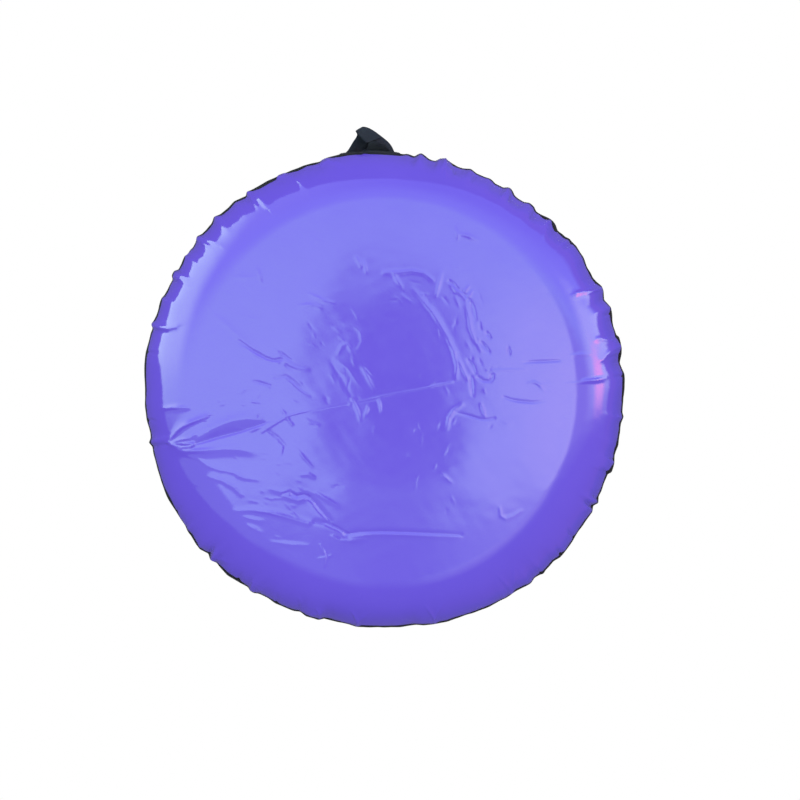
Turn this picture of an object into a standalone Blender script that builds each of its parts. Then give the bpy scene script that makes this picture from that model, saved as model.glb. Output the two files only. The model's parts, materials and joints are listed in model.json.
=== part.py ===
"""Covered snow tube, seat side up: slick base, cloth cover with a seat well, air ring, zip,
carrying handles and a tow loop. Metres, +Z up, front towards -Y, origin on the floor."""

import math

import bmesh
import bpy
from mathutils import Matrix, Vector

for leftover in list(bpy.data.objects):
    bpy.data.objects.remove(leftover)

# Inflated size of the covered tube
outer_radius = 0.535
section_radius = 0.135
dish_depth = 0.010
contact_inner_reach = 0.030
contact_outer_reach = 0.015

# Cloth, webbing and rubber
base_thickness = 0.0012
cover_thickness = 0.0010
seat_thickness = 0.0010
seam_tape_thickness = 0.0005
patch_thickness = 0.0012
webbing_thickness = 0.0018
rubber_wall = 0.0022
sewn_gap = 0.0003
cut_overrun = 0.004
merge_distance = 0.000001

# Seams, as angles round the tube's section from its outermost line upwards
seam_angle = -17.0
zip_low_angle = 11.0
zip_high_angle = 29.0
crest_outer_angle = 73.0
crest_inner_angle = 95.0
well_seam_angle = 140.0
well_leave_angle = 167.0
pucker_height = 0.003
seam_tape_half_width = 0.008
seat_allowance = 0.006

# Panels that the round shapes are divided into
panels = 48
zip_panels = 144
front_column = 3 * panels // 4
back_column = panels // 4

ring_radius = outer_radius - section_radius
contact_inner_radius = ring_radius - contact_inner_reach
contact_outer_radius = ring_radius + contact_outer_reach


def on_section(angle):
    """Point (radius, height) of the section circle at an angle in degrees."""
    turn = math.radians(angle)
    radius = ring_radius + section_radius * math.cos(turn)
    return radius, section_radius * (1 + math.sin(turn))


def dish_height(radius):
    """Height of the base sheet where it spans the hole of the tube."""
    share = radius / contact_inner_radius
    return dish_depth * (1 - share**2) ** 2


# The well wall leaves the tube on a straight taper and ends on the seat panel
leave_radius, leave_height = on_section(well_leave_angle)
well_taper = math.tan(math.radians(180 - well_leave_angle))
floor_stack = base_thickness + seat_thickness + 3 * sewn_gap
floor_radius = leave_radius
for _ in range(8):
    floor_height = dish_height(floor_radius) + floor_stack
    floor_radius = leave_radius - (leave_height - floor_height) * well_taper

# Outer surface of the whole cover, from the middle of the base to the floor of the well
base_middle_share = 0.52
base_radii = [
    0.0,
    base_middle_share * floor_radius,
    floor_radius,
    (floor_radius + contact_inner_radius) / 2,
    contact_inner_radius,
]
base_line = [(radius, dish_height(radius)) for radius in base_radii]
base_line.append((contact_outer_radius, 0.0))
base_line += [on_section(angle) for angle in (-66, -48, -32, seam_angle)]
cover_angles = (-3, zip_low_angle, zip_high_angle, 51, crest_outer_angle, crest_inner_angle)
cover_line = [on_section(angle) for angle in cover_angles]
cover_line += [on_section(118), on_section(well_seam_angle)]
well_line = [on_section(153.5), on_section(well_leave_angle), (floor_radius, floor_height)]
skin = base_line + cover_line + well_line

floor_station = 2
seam_station = len(base_line) - 1
zip_station = seam_station + 1 + cover_angles.index(zip_low_angle)
crest_station = seam_station + 1 + cover_angles.index(crest_outer_angle)
well_station = seam_station + len(cover_line)
last_station = len(skin) - 1


def outward(first, second):
    """Unit normal on the outer side of a stretch of the skin."""
    length = math.dist(first, second)
    return (second[1] - first[1]) / length, (first[0] - second[0]) / length


def offset_line(line, distance, closed=False):
    """The line moved outwards by a distance, with its corners mitred."""
    moved = []
    count = len(line)
    for index, point in enumerate(line):
        before = after = None
        if index > 0 or closed:
            before = outward(line[index - 1], point)
        if index < count - 1 or closed:
            after = outward(point, line[(index + 1) % count])
        if before is None:
            before = (-after[0], after[1]) if point[0] == 0 else after
        if after is None:
            after = before
        stretch = distance / (1 + before[0] * after[0] + before[1] * after[1])
        radius = point[0] + (before[0] + after[0]) * stretch
        moved.append((max(radius, 0.0), point[1] + (before[1] + after[1]) * stretch))
    return moved


def mixed(first, second, share):
    """Point between two points."""
    return tuple(a + (b - a) * share for a, b in zip(first, second))


def is_puckered(column):
    """Every other panel edge is gathered, except beside the tow loop."""
    return column % 2 == 1 and abs(column - front_column) > 1


def skin_corner(column, station, offset, per_turn):
    """Point of the skin on a panel edge."""
    line = offset_line(skin, offset)
    lower = min(int(math.floor(station)), last_station - 1)
    radius, height = mixed(line[lower], line[lower + 1], station - lower)
    nearness = 1 - abs(station - seam_station)
    if per_turn == panels and nearness > 0 and is_puckered(column % panels):
        radius += pucker_height * nearness
    turn = 2 * math.pi * column / per_turn
    return radius * math.cos(turn), radius * math.sin(turn), height


def skin_point(column, station, offset, per_turn=panels):
    """Point of the skin anywhere, on the flat facet that it falls on."""
    lower = int(math.floor(column))
    first = skin_corner(lower, station, offset, per_turn)
    if column == lower:
        return Vector(first)
    second = skin_corner(lower + 1, station, offset, per_turn)
    return Vector(mixed(first, second, column - lower))


def breaks(start, stop):
    """The start, every whole number between, and the stop."""
    inner = [n for n in range(math.floor(start) + 1, math.ceil(stop))]
    return [start] + inner + [stop]


def station_length(station):
    """Length of the stretch of skin that begins at a station."""
    return math.dist(skin[station], skin[station + 1])


def finish(name, colour, roughness, metallic=0.0):
    """Material of one piece."""
    material = bpy.data.materials.new(name)
    material.use_nodes = True
    shader = material.node_tree.nodes["Principled BSDF"]
    shader.inputs["Base Color"].default_value = (*colour, 1.0)
    shader.inputs["Roughness"].default_value = roughness
    shader.inputs["Metallic"].default_value = metallic
    return material


def add_piece(name, mesh_in, look, origin=(0.0, 0.0, 0.0)):
    """Object with the mesh's points given in the world, and its origin where asked."""
    bmesh.ops.remove_doubles(mesh_in, verts=mesh_in.verts, dist=merge_distance)
    bmesh.ops.translate(mesh_in, verts=mesh_in.verts, vec=-Vector(origin))
    mesh = bpy.data.meshes.new(name)
    mesh_in.to_mesh(mesh)
    mesh_in.free()
    piece = bpy.data.objects.new(name, mesh)
    piece.location = origin
    bpy.context.scene.collection.objects.link(piece)
    if look:
        mesh.materials.append(finish(name, *look))
    return piece


def hang_on(piece, carrier):
    """Parent a piece, keeping its place."""
    piece.parent = carrier
    piece.location = piece.location - carrier.location


def hide_tool(piece):
    """Mark an object as a cutter or a joined shape, not a piece."""
    piece.hide_render = True
    piece.display_type = "WIRE"


def combine(piece, tool, operation):
    """Cut or join one shape with another."""
    hide_tool(tool)
    modifier = piece.modifiers.new(operation.title(), "BOOLEAN")
    modifier.operation = operation
    modifier.solver = "EXACT"
    modifier.object = tool


def sheet_mesh(columns, stations, outer_offset, inner_offset, per_turn=panels):
    """Sheet that follows the skin between two offsets. A full turn closes on itself."""
    made = bmesh.new()
    ring = columns[-1] - columns[0] == per_turn
    if ring:
        columns = columns[:-1]
    sides = []
    for offset in (outer_offset, inner_offset):
        sides.append([
            [made.verts.new(skin_point(column, station, offset, per_turn)) for station in stations]
            for column in columns
        ])
    spans = len(columns) if ring else len(columns) - 1
    for index in range(spans):
        after = (index + 1) % len(columns)
        for row in range(len(stations) - 1):
            below_seam = (stations[row] + stations[row + 1]) / 2 < seam_station
            rising = (columns[index] % 2 == 0) == below_seam
            for grid in sides:
                corners = (grid[index][row], grid[after][row], grid[after][row + 1], grid[index][row + 1])
                if rising:
                    splits = ((0, 1, 2), (0, 2, 3))
                else:
                    splits = ((0, 1, 3), (1, 2, 3))
                for split in splits:
                    made.faces.new([corners[n] for n in split])
        for row in (0, len(stations) - 1):
            made.faces.new((sides[0][index][row], sides[0][after][row],
                            sides[1][after][row], sides[1][index][row]))
    if not ring:
        for index in (0, len(columns) - 1):
            for row in range(len(stations) - 1):
                made.faces.new((sides[0][index][row], sides[0][index][row + 1],
                                sides[1][index][row + 1], sides[1][index][row]))
    bmesh.ops.remove_doubles(made, verts=made.verts, dist=merge_distance)
    bmesh.ops.recalc_face_normals(made, faces=made.faces)
    return made


def turned_mesh(profile, sides, frame):
    """Solid turned about the frame's Z from a closed outline of (radius, height)."""
    made = bmesh.new()
    rings = []
    for side in range(sides):
        turn = 2 * math.pi * side / sides
        rings.append([
            made.verts.new((radius * math.cos(turn), radius * math.sin(turn), height))
            for radius, height in profile
        ])
    for side in range(sides):
        first, second = rings[side], rings[(side + 1) % sides]
        for index in range(len(profile)):
            after = (index + 1) % len(profile)
            if profile[index][0] == 0 and profile[after][0] == 0:
                continue
            made.faces.new((first[index], second[index], second[after], first[after]))
    bmesh.ops.remove_doubles(made, verts=made.verts, dist=merge_distance)
    bmesh.ops.recalc_face_normals(made, faces=made.faces)
    bmesh.ops.transform(made, verts=made.verts, matrix=frame)
    return made


def plate_mesh(outline, low, high, frame):
    """Flat outline in the frame's X and Y, with thickness along its Z."""
    made = bmesh.new()
    bottom = [made.verts.new((x, y, low)) for x, y in outline]
    top = [made.verts.new((x, y, high)) for x, y in outline]
    made.faces.new(bottom[::-1])
    made.faces.new(top)
    for index in range(len(outline)):
        after = (index + 1) % len(outline)
        made.faces.new((bottom[index], bottom[after], top[after], top[index]))
    bmesh.ops.recalc_face_normals(made, faces=made.faces)
    bmesh.ops.transform(made, verts=made.verts, matrix=frame)
    return made


def window_mesh(outer, window, low, high, frame):
    """Flat rectangle with a rectangular window. Each is (x low, y low, x high, y high)."""
    made = bmesh.new()
    loops = []
    for box in (outer, window):
        for height in (low, high):
            corners = ((box[0], box[1]), (box[2], box[1]), (box[2], box[3]), (box[0], box[3]))
            loops.append([made.verts.new((x, y, height)) for x, y in corners])
    outer_low, outer_high, window_low, window_high = loops
    for index in range(4):
        after = (index + 1) % 4
        for first, second in ((outer_low, window_low), (outer_high, window_high),
                              (outer_low, outer_high), (window_low, window_high)):
            made.faces.new((first[index], first[after], second[after], second[index]))
    bmesh.ops.recalc_face_normals(made, faces=made.faces)
    bmesh.ops.transform(made, verts=made.verts, matrix=frame)
    return made


def arc(centre_x, centre_y, radius, start, stop, steps):
    """Points along an arc, with its angles in degrees."""
    points = []
    for step in range(steps + 1):
        turn = math.radians(start + (stop - start) * step / steps)
        points.append((centre_x + radius * math.cos(turn), centre_y + radius * math.sin(turn)))
    return points


def frame_of(origin, x_axis, y_axis, z_axis):
    """Matrix that places local axes in the world."""
    frame = Matrix((x_axis, y_axis, z_axis)).transposed().to_4x4()
    frame.translation = origin
    return frame


whole_turn = list(range(panels + 1))
seam_gap_share = sewn_gap / station_length(seam_station)
purple_vinyl = ((0.14, 0.09, 0.70), 0.28)
black_cloth = ((0.012, 0.013, 0.018), 0.75)
black_webbing = ((0.010, 0.012, 0.018), 0.70)
black_rubber = ((0.015, 0.015, 0.016), 0.60)
black_plastic = ((0.02, 0.02, 0.022), 0.45)
dull_metal = ((0.30, 0.30, 0.31), 0.40, 1.0)
brass = ((0.72, 0.52, 0.24), 0.35, 1.0)

# Slick base: one round sheet, sewn only round its rim
base_stations = list(range(seam_station)) + [seam_station - seam_gap_share]
add_piece("base_panel", sheet_mesh(whole_turn, base_stations, 0.0, -base_thickness), purple_vinyl)

# Cloth cover, from the rim seam over the top to the mouth of the well, slit for the zip
slot_half_width = 0.007
slot_start_angle = 38.2
slot_stop_angle = 180 - slot_start_angle
zip_line = zip_station + 0.5
zip_facet = station_length(zip_station)

cover_stations = [seam_station + seam_gap_share]
cover_stations += list(range(seam_station + 1, well_station))
cover_stations.append(well_station - seam_gap_share)
top_cover = add_piece(
    "top_cover", sheet_mesh(whole_turn, cover_stations, 0.0, -cover_thickness), black_cloth
)
slot_columns = breaks(slot_start_angle * panels / 360, slot_stop_angle * panels / 360)
slot_stations = [zip_line - slot_half_width / zip_facet, zip_line + slot_half_width / zip_facet]
slot = add_piece("slot_cutter", sheet_mesh(slot_columns, slot_stations, cut_overrun, -cut_overrun), None)
combine(top_cover, slot, "DIFFERENCE")

# Tapered wall of the seat well
well_stations = [well_station + seam_gap_share]
well_stations += list(range(well_station + 1, last_station + 1))
add_piece("well_wall", sheet_mesh(whole_turn, well_stations, 0.0, -cover_thickness), black_cloth)

# Floor of the seat well, lying on the base sheet and sewn under the wall
seat_low = base_thickness + sewn_gap
seat_stations = list(range(floor_station + 1))
seat_stations.append(floor_station + seat_allowance / station_length(floor_station))
add_piece(
    "seat_panel",
    sheet_mesh(whole_turn, seat_stations, -seat_low, -seat_low - seat_thickness),
    black_cloth,
)

# Binding tape behind the rim seam
tape_low = base_thickness + sewn_gap
tape_stations = [
    seam_station - seam_tape_half_width / station_length(seam_station - 1),
    seam_station,
    seam_station + seam_tape_half_width / station_length(seam_station),
]
add_piece(
    "rim_seam_tape",
    sheet_mesh(whole_turn, tape_stations, -tape_low, -tape_low - seam_tape_thickness),
    black_cloth,
)

# Air ring of butyl rubber, with its own hidden stations behind the well wall
tube_inset = tape_low + seam_tape_thickness + sewn_gap
valve_low_angle = 202.0
valve_high_angle = 224.0
tube_outline = skin[base_line.index((contact_outer_radius, 0.0)):last_station]
tube_outline += [on_section(angle) for angle in (184.5, valve_low_angle, valve_high_angle, 243)]
tube_outline.append((ring_radius - contact_outer_reach, 0.0))
tube_outer = offset_line(tube_outline, -tube_inset, closed=True)
tube_inner = offset_line(tube_outline, -tube_inset - rubber_wall, closed=True)
valve_index = tube_outline.index(on_section(valve_low_angle))


def tube_point(line, column, index):
    """Point of the air ring's section on a panel edge."""
    radius, height = line[index % len(line)]
    turn = 2 * math.pi * column / panels
    return Vector((radius * math.cos(turn), radius * math.sin(turn), height))


tube_mesh = bmesh.new()
for line, flipped in ((tube_outer, False), (tube_inner, True)):
    grid = [
        [tube_mesh.verts.new(tube_point(line, column, index)) for index in range(len(line))]
        for column in range(panels)
    ]
    for column in range(panels):
        for index in range(len(line)):
            after = (index + 1) % len(line)
            beside = (column + 1) % panels
            corners = [grid[column][index], grid[beside][index], grid[beside][after], grid[column][after]]
            tube_mesh.faces.new(corners[::-1] if flipped else corners)
inner_tube = add_piece("inner_tube", tube_mesh, black_rubber)

# Valve on the ring's lower inner side, in the space between the ring, the well wall and the base
valve_foot_radius = 0.015
valve_foot_thickness = 0.0020
valve_foot_slope = 0.0035
stem_radius = 0.0055
stem_length = 0.022
air_hole_radius = 0.0020
insert_radius = 0.0039
insert_start = 0.006
insert_length = 0.032
insert_bore_radius = 0.0026
core_clearance = 0.0003
core_start = 0.010
core_bore_radius = 0.0009
pin_radius = 0.0006
pin_start = 0.008
pin_head_radius = 0.0013
pin_head_length = 0.0012
pin_travel = 0.0012
cap_clearance = 0.0003
cap_wall = 0.0011
cap_top = 0.0015

facet_corners = [
    tube_point(tube_outer, back_column + side, valve_index + step)
    for side, step in ((0, 0), (1, 0), (1, 1), (0, 1))
]
valve_seat = sum(facet_corners, Vector()) / len(facet_corners)
valve_axis = (facet_corners[1] - facet_corners[0]).cross(facet_corners[3] - facet_corners[0])
valve_axis.normalize()
valve_across = (facet_corners[1] - facet_corners[0]).normalized()
valve_frame = frame_of(valve_seat, valve_across, valve_axis.cross(valve_across), valve_axis)

hole_radius = air_hole_radius + sewn_gap
hole_profile = [
    (0.0, -cut_overrun),
    (hole_radius, -cut_overrun),
    (hole_radius, cut_overrun),
    (0.0, cut_overrun),
]
air_hole = add_piece("air_hole_cutter", turned_mesh(hole_profile, 12, valve_frame), None)
combine(inner_tube, air_hole, "DIFFERENCE")

foot_top = sewn_gap + valve_foot_thickness
socket_radius = insert_radius + core_clearance
socket_floor = insert_start - core_clearance
stem_profile = [
    (air_hole_radius, sewn_gap),
    (valve_foot_radius, sewn_gap),
    (valve_foot_radius, foot_top),
    (stem_radius, foot_top + valve_foot_slope),
    (stem_radius, stem_length),
    (socket_radius, stem_length),
    (socket_radius, socket_floor),
    (air_hole_radius, socket_floor),
]
add_piece("valve_stem", turned_mesh(stem_profile, 20, valve_frame), black_rubber, valve_seat)
insert_profile = [
    (insert_bore_radius, insert_start),
    (insert_radius, insert_start),
    (insert_radius, insert_length),
    (insert_bore_radius, insert_length),
]
add_piece("valve_insert", turned_mesh(insert_profile, 20, valve_frame), brass, valve_seat)
core_radius = insert_bore_radius - core_clearance
core_top = insert_length - core_clearance - pin_head_length - pin_travel
core_profile = [
    (core_bore_radius, core_start),
    (core_radius, core_start),
    (core_radius, core_top),
    (core_bore_radius, core_top),
]
add_piece("valve_core", turned_mesh(core_profile, 12, valve_frame), brass, valve_seat)
pin_head = core_top + core_clearance + pin_travel
pin_profile = [
    (0.0, pin_start),
    (pin_radius, pin_start),
    (pin_radius, pin_head),
    (pin_head_radius, pin_head),
    (pin_head_radius, pin_head + pin_head_length),
    (0.0, pin_head + pin_head_length),
]
add_piece("valve_pin", turned_mesh(pin_profile, 12, valve_frame), brass, valve_seat)
cap_bore_radius = insert_radius + cap_clearance
cap_radius = cap_bore_radius + cap_wall
cap_mouth = stem_length + cap_clearance
cap_floor = pin_head + pin_head_length + cap_clearance
cap_profile = [
    (0.0, cap_floor),
    (cap_bore_radius, cap_floor),
    (cap_bore_radius, cap_mouth),
    (cap_radius, cap_mouth),
    (cap_radius, cap_floor + cap_top),
    (0.0, cap_floor + cap_top),
]
add_piece("valve_cap", turned_mesh(cap_profile, 20, valve_frame), black_plastic, valve_seat)

# Zip on the back wall, above the rim: two tapes sewn over the slit, with a row of teeth each
zip_start_angle = 37.5
zip_stop_angle = 180 - zip_start_angle
teeth_start_angle = 40.0
teeth_stop_angle = 180 - teeth_start_angle
tape_edge = 0.0013
tape_reach = 0.016
tape_thickness = 0.0007
tooth_edge = 0.0010
tooth_reach = 0.0032
tooth_height = 0.0017
stop_reach = 0.0042
stop_angle = 0.28
stop_gap_angle = 0.12
end_patch_reach = 0.019
end_patch_start_angle = 35.9
end_patch_stop_angle = 38.9
zip_clearance = 0.0004

tape_low_offset = sewn_gap
tape_top_offset = tape_low_offset + tape_thickness
tooth_low_offset = tape_top_offset + sewn_gap
tooth_top_offset = tooth_low_offset + tooth_height


def zip_columns(start, stop):
    """Fine panel edges between two angles in degrees."""
    return breaks(start * zip_panels / 360, stop * zip_panels / 360)


def zip_strip(name, angles, low, high, reach, look):
    """Strip along the zip: reach is its near and far distance from the middle of the zip."""
    stations = [zip_line + distance / zip_facet for distance in sorted(reach)]
    add_piece(name, sheet_mesh(zip_columns(*angles), stations, high, low, zip_panels), look)


for side, sign in (("upper", 1), ("lower", -1)):
    zip_strip("zip_tape_" + side, (zip_start_angle, zip_stop_angle), tape_low_offset,
              tape_top_offset, (sign * tape_edge, sign * tape_reach), black_cloth)
    zip_strip("zip_teeth_" + side, (teeth_start_angle, teeth_stop_angle), tooth_low_offset,
              tooth_top_offset, (sign * tooth_edge, sign * tooth_reach), black_plastic)
stop_high_offset = tooth_top_offset + zip_clearance
right_stop = (teeth_start_angle - stop_gap_angle - stop_angle, teeth_start_angle - stop_gap_angle)
right_patch = (end_patch_start_angle, end_patch_stop_angle)
for side, mirrored in (("right", False), ("left", True)):
    stop_angles = sorted(180 - angle if mirrored else angle for angle in right_stop)
    zip_strip("zip_stop_" + side, stop_angles, tooth_low_offset, stop_high_offset,
              (-stop_reach, stop_reach), dull_metal)
    patch_angles = sorted(180 - angle if mirrored else angle for angle in right_patch)
    zip_strip("zip_end_patch_" + side, patch_angles, tooth_low_offset,
              tooth_low_offset + patch_thickness, (-end_patch_reach, end_patch_reach), black_cloth)

# Slider: two plates joined by a neck between the rows, with a bail for its pull
slider_angle = 139.2
slider_length = 0.011
slider_reach = 0.0046
plate_thickness = 0.0010
flange_thickness = 0.0010
neck_reach = 0.0006
neck_length = 0.0035
bail_reach = 0.0009
bail_half_span = 0.0034
bail_wire = 0.0010
bail_window = 0.0022
weld_depth = 0.0003

slider_turn = math.radians(slider_angle)
across_slope = outward(skin[zip_station], skin[zip_station + 1])
radial = Vector((math.cos(slider_turn), math.sin(slider_turn), 0.0))
slider_out = radial * across_slope[0] + Vector((0.0, 0.0, across_slope[1]))
slider_along = Vector((-math.sin(slider_turn), math.cos(slider_turn), 0.0))
slider_up = slider_out.cross(slider_along)
slider_middle = mixed(skin[zip_station], skin[zip_station + 1], 0.5)
slider_seat = radial * slider_middle[0] + Vector((0.0, 0.0, slider_middle[1]))

# Local axes: thickness along the zip for the slider's shell, and across it for the bail
along_frame = frame_of(slider_seat, slider_up, slider_out, slider_along)
bail_frame = frame_of(slider_seat, slider_out, slider_along, slider_up)

top_plate_low = tooth_top_offset + zip_clearance
top_plate_high = top_plate_low + plate_thickness
flange_low = tape_top_offset + zip_clearance
flange_inside = slider_reach - flange_thickness
shell_outline = [
    (-slider_reach, flange_low),
    (-flange_inside, flange_low),
    (-flange_inside, top_plate_low),
    (flange_inside, top_plate_low),
    (flange_inside, flange_low),
    (slider_reach, flange_low),
    (slider_reach, top_plate_high),
    (-slider_reach, top_plate_high),
]
slider_half = slider_length / 2
zip_slider = add_piece(
    "zip_slider",
    plate_mesh(shell_outline, -slider_half, slider_half, along_frame),
    dull_metal,
)
bottom_plate_high = -sewn_gap
bottom_plate_low = bottom_plate_high - plate_thickness
keel_outline = [
    (-neck_reach, top_plate_low + weld_depth),
    (-neck_reach, bottom_plate_high),
    (-slider_reach, bottom_plate_high),
    (-slider_reach, bottom_plate_low),
    (slider_reach, bottom_plate_low),
    (slider_reach, bottom_plate_high),
    (neck_reach, bottom_plate_high),
    (neck_reach, top_plate_low + weld_depth),
]
keel = add_piece(
    "slider_keel_shape",
    plate_mesh(keel_outline, -slider_half, -slider_half + neck_length, along_frame),
    None,
)
combine(zip_slider, keel, "UNION")
bail_low = top_plate_high
bail_inside = bail_half_span - bail_wire
bail_outline = [
    (bail_low - weld_depth, -bail_half_span),
    (bail_low + bail_window + bail_wire, -bail_half_span),
    (bail_low + bail_window + bail_wire, bail_half_span),
    (bail_low - weld_depth, bail_half_span),
    (bail_low - weld_depth, bail_inside),
    (bail_low + bail_window, bail_inside),
    (bail_low + bail_window, -bail_inside),
    (bail_low - weld_depth, -bail_inside),
]
bail = add_piece("slider_bail_shape", plate_mesh(bail_outline, -bail_reach, bail_reach, bail_frame), None)
combine(zip_slider, bail, "UNION")

# Pull: a flat tab whose end bar lies in the bail's window
pull_thickness = 0.0012
pull_length = 0.024
pull_reach = 0.0040
pull_window_length = 0.0054
pull_window_reach = 0.0014

pull_height = bail_low + bail_window / 2
pull_pivot = slider_seat + slider_out * pull_height
pull_half = pull_thickness / 2
pull_outer = (-pull_length, -pull_reach, pull_half, pull_reach)
pull_window = (-pull_half - pull_window_length, -pull_window_reach, -pull_half, pull_window_reach)
pull_frame = frame_of(pull_pivot, slider_along, slider_up, slider_out)
zip_pull = add_piece(
    "zip_pull",
    window_mesh(pull_outer, pull_window, -pull_half, pull_half, pull_frame),
    dull_metal,
    pull_pivot,
)

# Carrying handles: webbing sewn flat at two patches, rolled in a padded sleeve between them
handle_column_reach = 1.5
handle_patch_share = 0.42
handle_patch_start_share = 0.06
handle_patch_stop_share = 0.97
handle_fold_share = 0.28
handle_webbing_width = 0.025
handle_end_length = 0.028
handle_fold_gap = 0.0030
handle_fold_lift = 0.0004
fold_overrun = 0.0006
grip_distance = 0.052
grip_radius = 0.0115
grip_wall = 0.0030
grip_half_length = 0.058
roll_clearance = 0.0004
outer_corner = 0.020
inner_corner = 0.006

crest_facet = station_length(crest_station)
patch_offset = sewn_gap + patch_thickness
end_offset = patch_offset + sewn_gap
crest_out = outward(skin[crest_station], skin[crest_station + 1])
roll_half = grip_radius - grip_wall - roll_clearance


def sewn_patch(name, columns, stations):
    """Reinforcing patch on the cover."""
    add_piece(name, sheet_mesh(columns, stations, patch_offset, sewn_gap), black_cloth)


def sewn_end(name, columns, stations):
    """Flat end of webbing on its patch."""
    high = end_offset + webbing_thickness
    add_piece(name, sheet_mesh(columns, stations, high, end_offset), black_webbing)


def make_handle(side, middle_column, sign):
    """One handle. sign is the side of the tube it lies on, along X."""
    fold_station = crest_station + handle_fold_share
    fold_middle = {}
    for place, step in (("front", -sign), ("back", sign)):
        column = middle_column + step * handle_column_reach
        edge = skin_point(math.floor(column), fold_station, 0.0)
        next_edge = skin_point(math.floor(column) + 1, fold_station, 0.0)
        half_share = handle_webbing_width / 2 / (next_edge - edge).length
        patch_columns = [column - handle_patch_share, column + handle_patch_share]
        patch_stations = [crest_station + handle_patch_start_share,
                          crest_station + handle_patch_stop_share]
        sewn_patch(f"handle_{side}_patch_{place}", patch_columns, patch_stations)
        swing = math.radians(handle_column_reach * 360 / panels)
        slant_gap = handle_fold_gap + handle_webbing_width / 2 * math.sin(swing)
        end_start = fold_station + slant_gap / crest_facet
        end_stations = [end_start, end_start + handle_end_length / crest_facet]
        sewn_end(f"handle_{side}_end_{place}", [column - half_share, column + half_share], end_stations)
        fold_height = end_offset + webbing_thickness / 2 + handle_fold_lift
        fold_middle[place] = skin_point(column, fold_station, fold_height)
    pivot = (fold_middle["front"] + fold_middle["back"]) / 2
    leg_middle = abs(fold_middle["back"].y)
    leg_out = leg_middle + handle_webbing_width / 2
    leg_in = leg_middle - handle_webbing_width / 2

    # Local axes: X away from the fold, Y along the fold, Z out of the loop's plane
    away = Vector((sign * crest_out[1], 0.0, -crest_out[0]))
    normal = Vector((sign * crest_out[0], 0.0, crest_out[1]))
    loop_frame = frame_of(pivot, away, normal.cross(away), normal)
    bar_low = grip_distance - roll_half
    bar_high = grip_distance + roll_half
    outline = [(-fold_overrun, -leg_out)]
    outline += arc(bar_high - outer_corner, -leg_out + outer_corner, outer_corner, -90, 0, 4)
    outline += arc(bar_high - outer_corner, leg_out - outer_corner, outer_corner, 0, 90, 4)
    outline += [(-fold_overrun, leg_out), (-fold_overrun, leg_in)]
    outline += arc(bar_low - inner_corner, leg_in - inner_corner, inner_corner, 90, 0, 2)
    outline += arc(bar_low - inner_corner, -leg_in + inner_corner, inner_corner, 0, -90, 2)
    outline += [(-fold_overrun, -leg_in)]
    half = webbing_thickness / 2
    loop = add_piece(f"handle_{side}_loop", plate_mesh(outline, -half, half, loop_frame),
                     black_webbing, pivot)

    grip_middle = pivot + away * grip_distance
    grip_frame = frame_of(grip_middle, normal, away, normal.cross(away))
    bore = grip_radius - grip_wall
    profile = [
        (bore, -grip_half_length),
        (grip_radius, -grip_half_length),
        (grip_radius, grip_half_length),
        (bore, grip_half_length),
    ]
    grip = add_piece(f"handle_{side}_grip", turned_mesh(profile, 20, grip_frame), black_cloth, grip_middle)
    hang_on(grip, loop)


make_handle("left", 0, 1)
make_handle("right", panels // 2, -1)

# Tow loop at the front: webbing sewn along the wall just above the rim seam, standing out in a bow
tow_patch_share = 0.97
tow_patch_low_share = 0.15
tow_patch_high_share = 1.85
tow_webbing_width = 0.038
tow_end_inner_share = 0.31
tow_end_outer_share = 0.83
tow_fold_gap = 0.0013
tow_reach = 0.058
tow_half_spread = 0.052
tow_outer_shares = [
    (-1.0, 0.0), (-0.85, 0.34), (-0.66, 0.62), (-0.52, 0.90), (-0.34, 1.0),
    (-0.06, 0.94), (0.40, 0.66), (0.78, 0.36), (0.92, 0.14), (1.0, 0.0),
]
tow_inner_shares = [
    (0.62, 0.0), (0.52, 0.16), (0.30, 0.32), (0.04, 0.42), (-0.22, 0.38), (-0.42, 0.18), (-0.50, 0.0),
]

tow_columns = [front_column - tow_patch_share, front_column, front_column + tow_patch_share]
tow_middle_station = seam_station + 1
sewn_patch("tow_patch", tow_columns,
           [seam_station + tow_patch_low_share, tow_middle_station, seam_station + tow_patch_high_share])
tow_low = tow_middle_station - tow_webbing_width / 2 / station_length(seam_station)
tow_high = tow_middle_station + tow_webbing_width / 2 / station_length(tow_middle_station)
for side, sign in (("left", 1), ("right", -1)):
    end_columns = sorted(front_column + sign * share for share in (tow_end_inner_share, tow_end_outer_share))
    sewn_end("tow_end_" + side, end_columns, [tow_low, tow_middle_station, tow_high])

end_face = skin_point(front_column + tow_end_inner_share, tow_middle_station,
                      end_offset + webbing_thickness)
tow_pivot = Vector((0.0, end_face.y - tow_fold_gap, end_face.z))
tow_frame = frame_of(tow_pivot, Vector((1, 0, 0)), Vector((0, -1, 0)), Vector((0, 0, -1)))
tow_outline = []
for shares in (tow_outer_shares, tow_inner_shares):
    for spread_share, reach_share in shares:
        reach = tow_reach * reach_share if reach_share else -fold_overrun
        tow_outline.append((tow_half_spread * spread_share, reach))
add_piece(
    "tow_loop",
    plate_mesh(tow_outline, -webbing_thickness / 2, webbing_thickness / 2, tow_frame),
    black_webbing,
    tow_pivot,
)

# The pull rides on the slider
hang_on(zip_pull, zip_slider)

# The origin is the middle of the whole length, from the back wall to the tip of the tow loop
front_reach = tow_reach - tow_pivot.y
back_reach = skin[seam_station + 1][0]
middle_shift = Vector((0.0, (front_reach - back_reach) / 2, 0.0))
for piece in bpy.data.objects:
    if piece.parent is None:
        piece.location += middle_shift

# Round pieces are shaded smooth, with sharp edges kept
smooth_angle = math.radians(32)
for piece in bpy.data.objects:
    if piece.type == "MESH" and not piece.hide_render:
        piece.data.shade_smooth()
        piece.data.set_sharp_from_angle(angle=smooth_angle)
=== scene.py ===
import json
from math import ceil, cos, degrees, pi, radians, sin, sqrt

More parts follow.
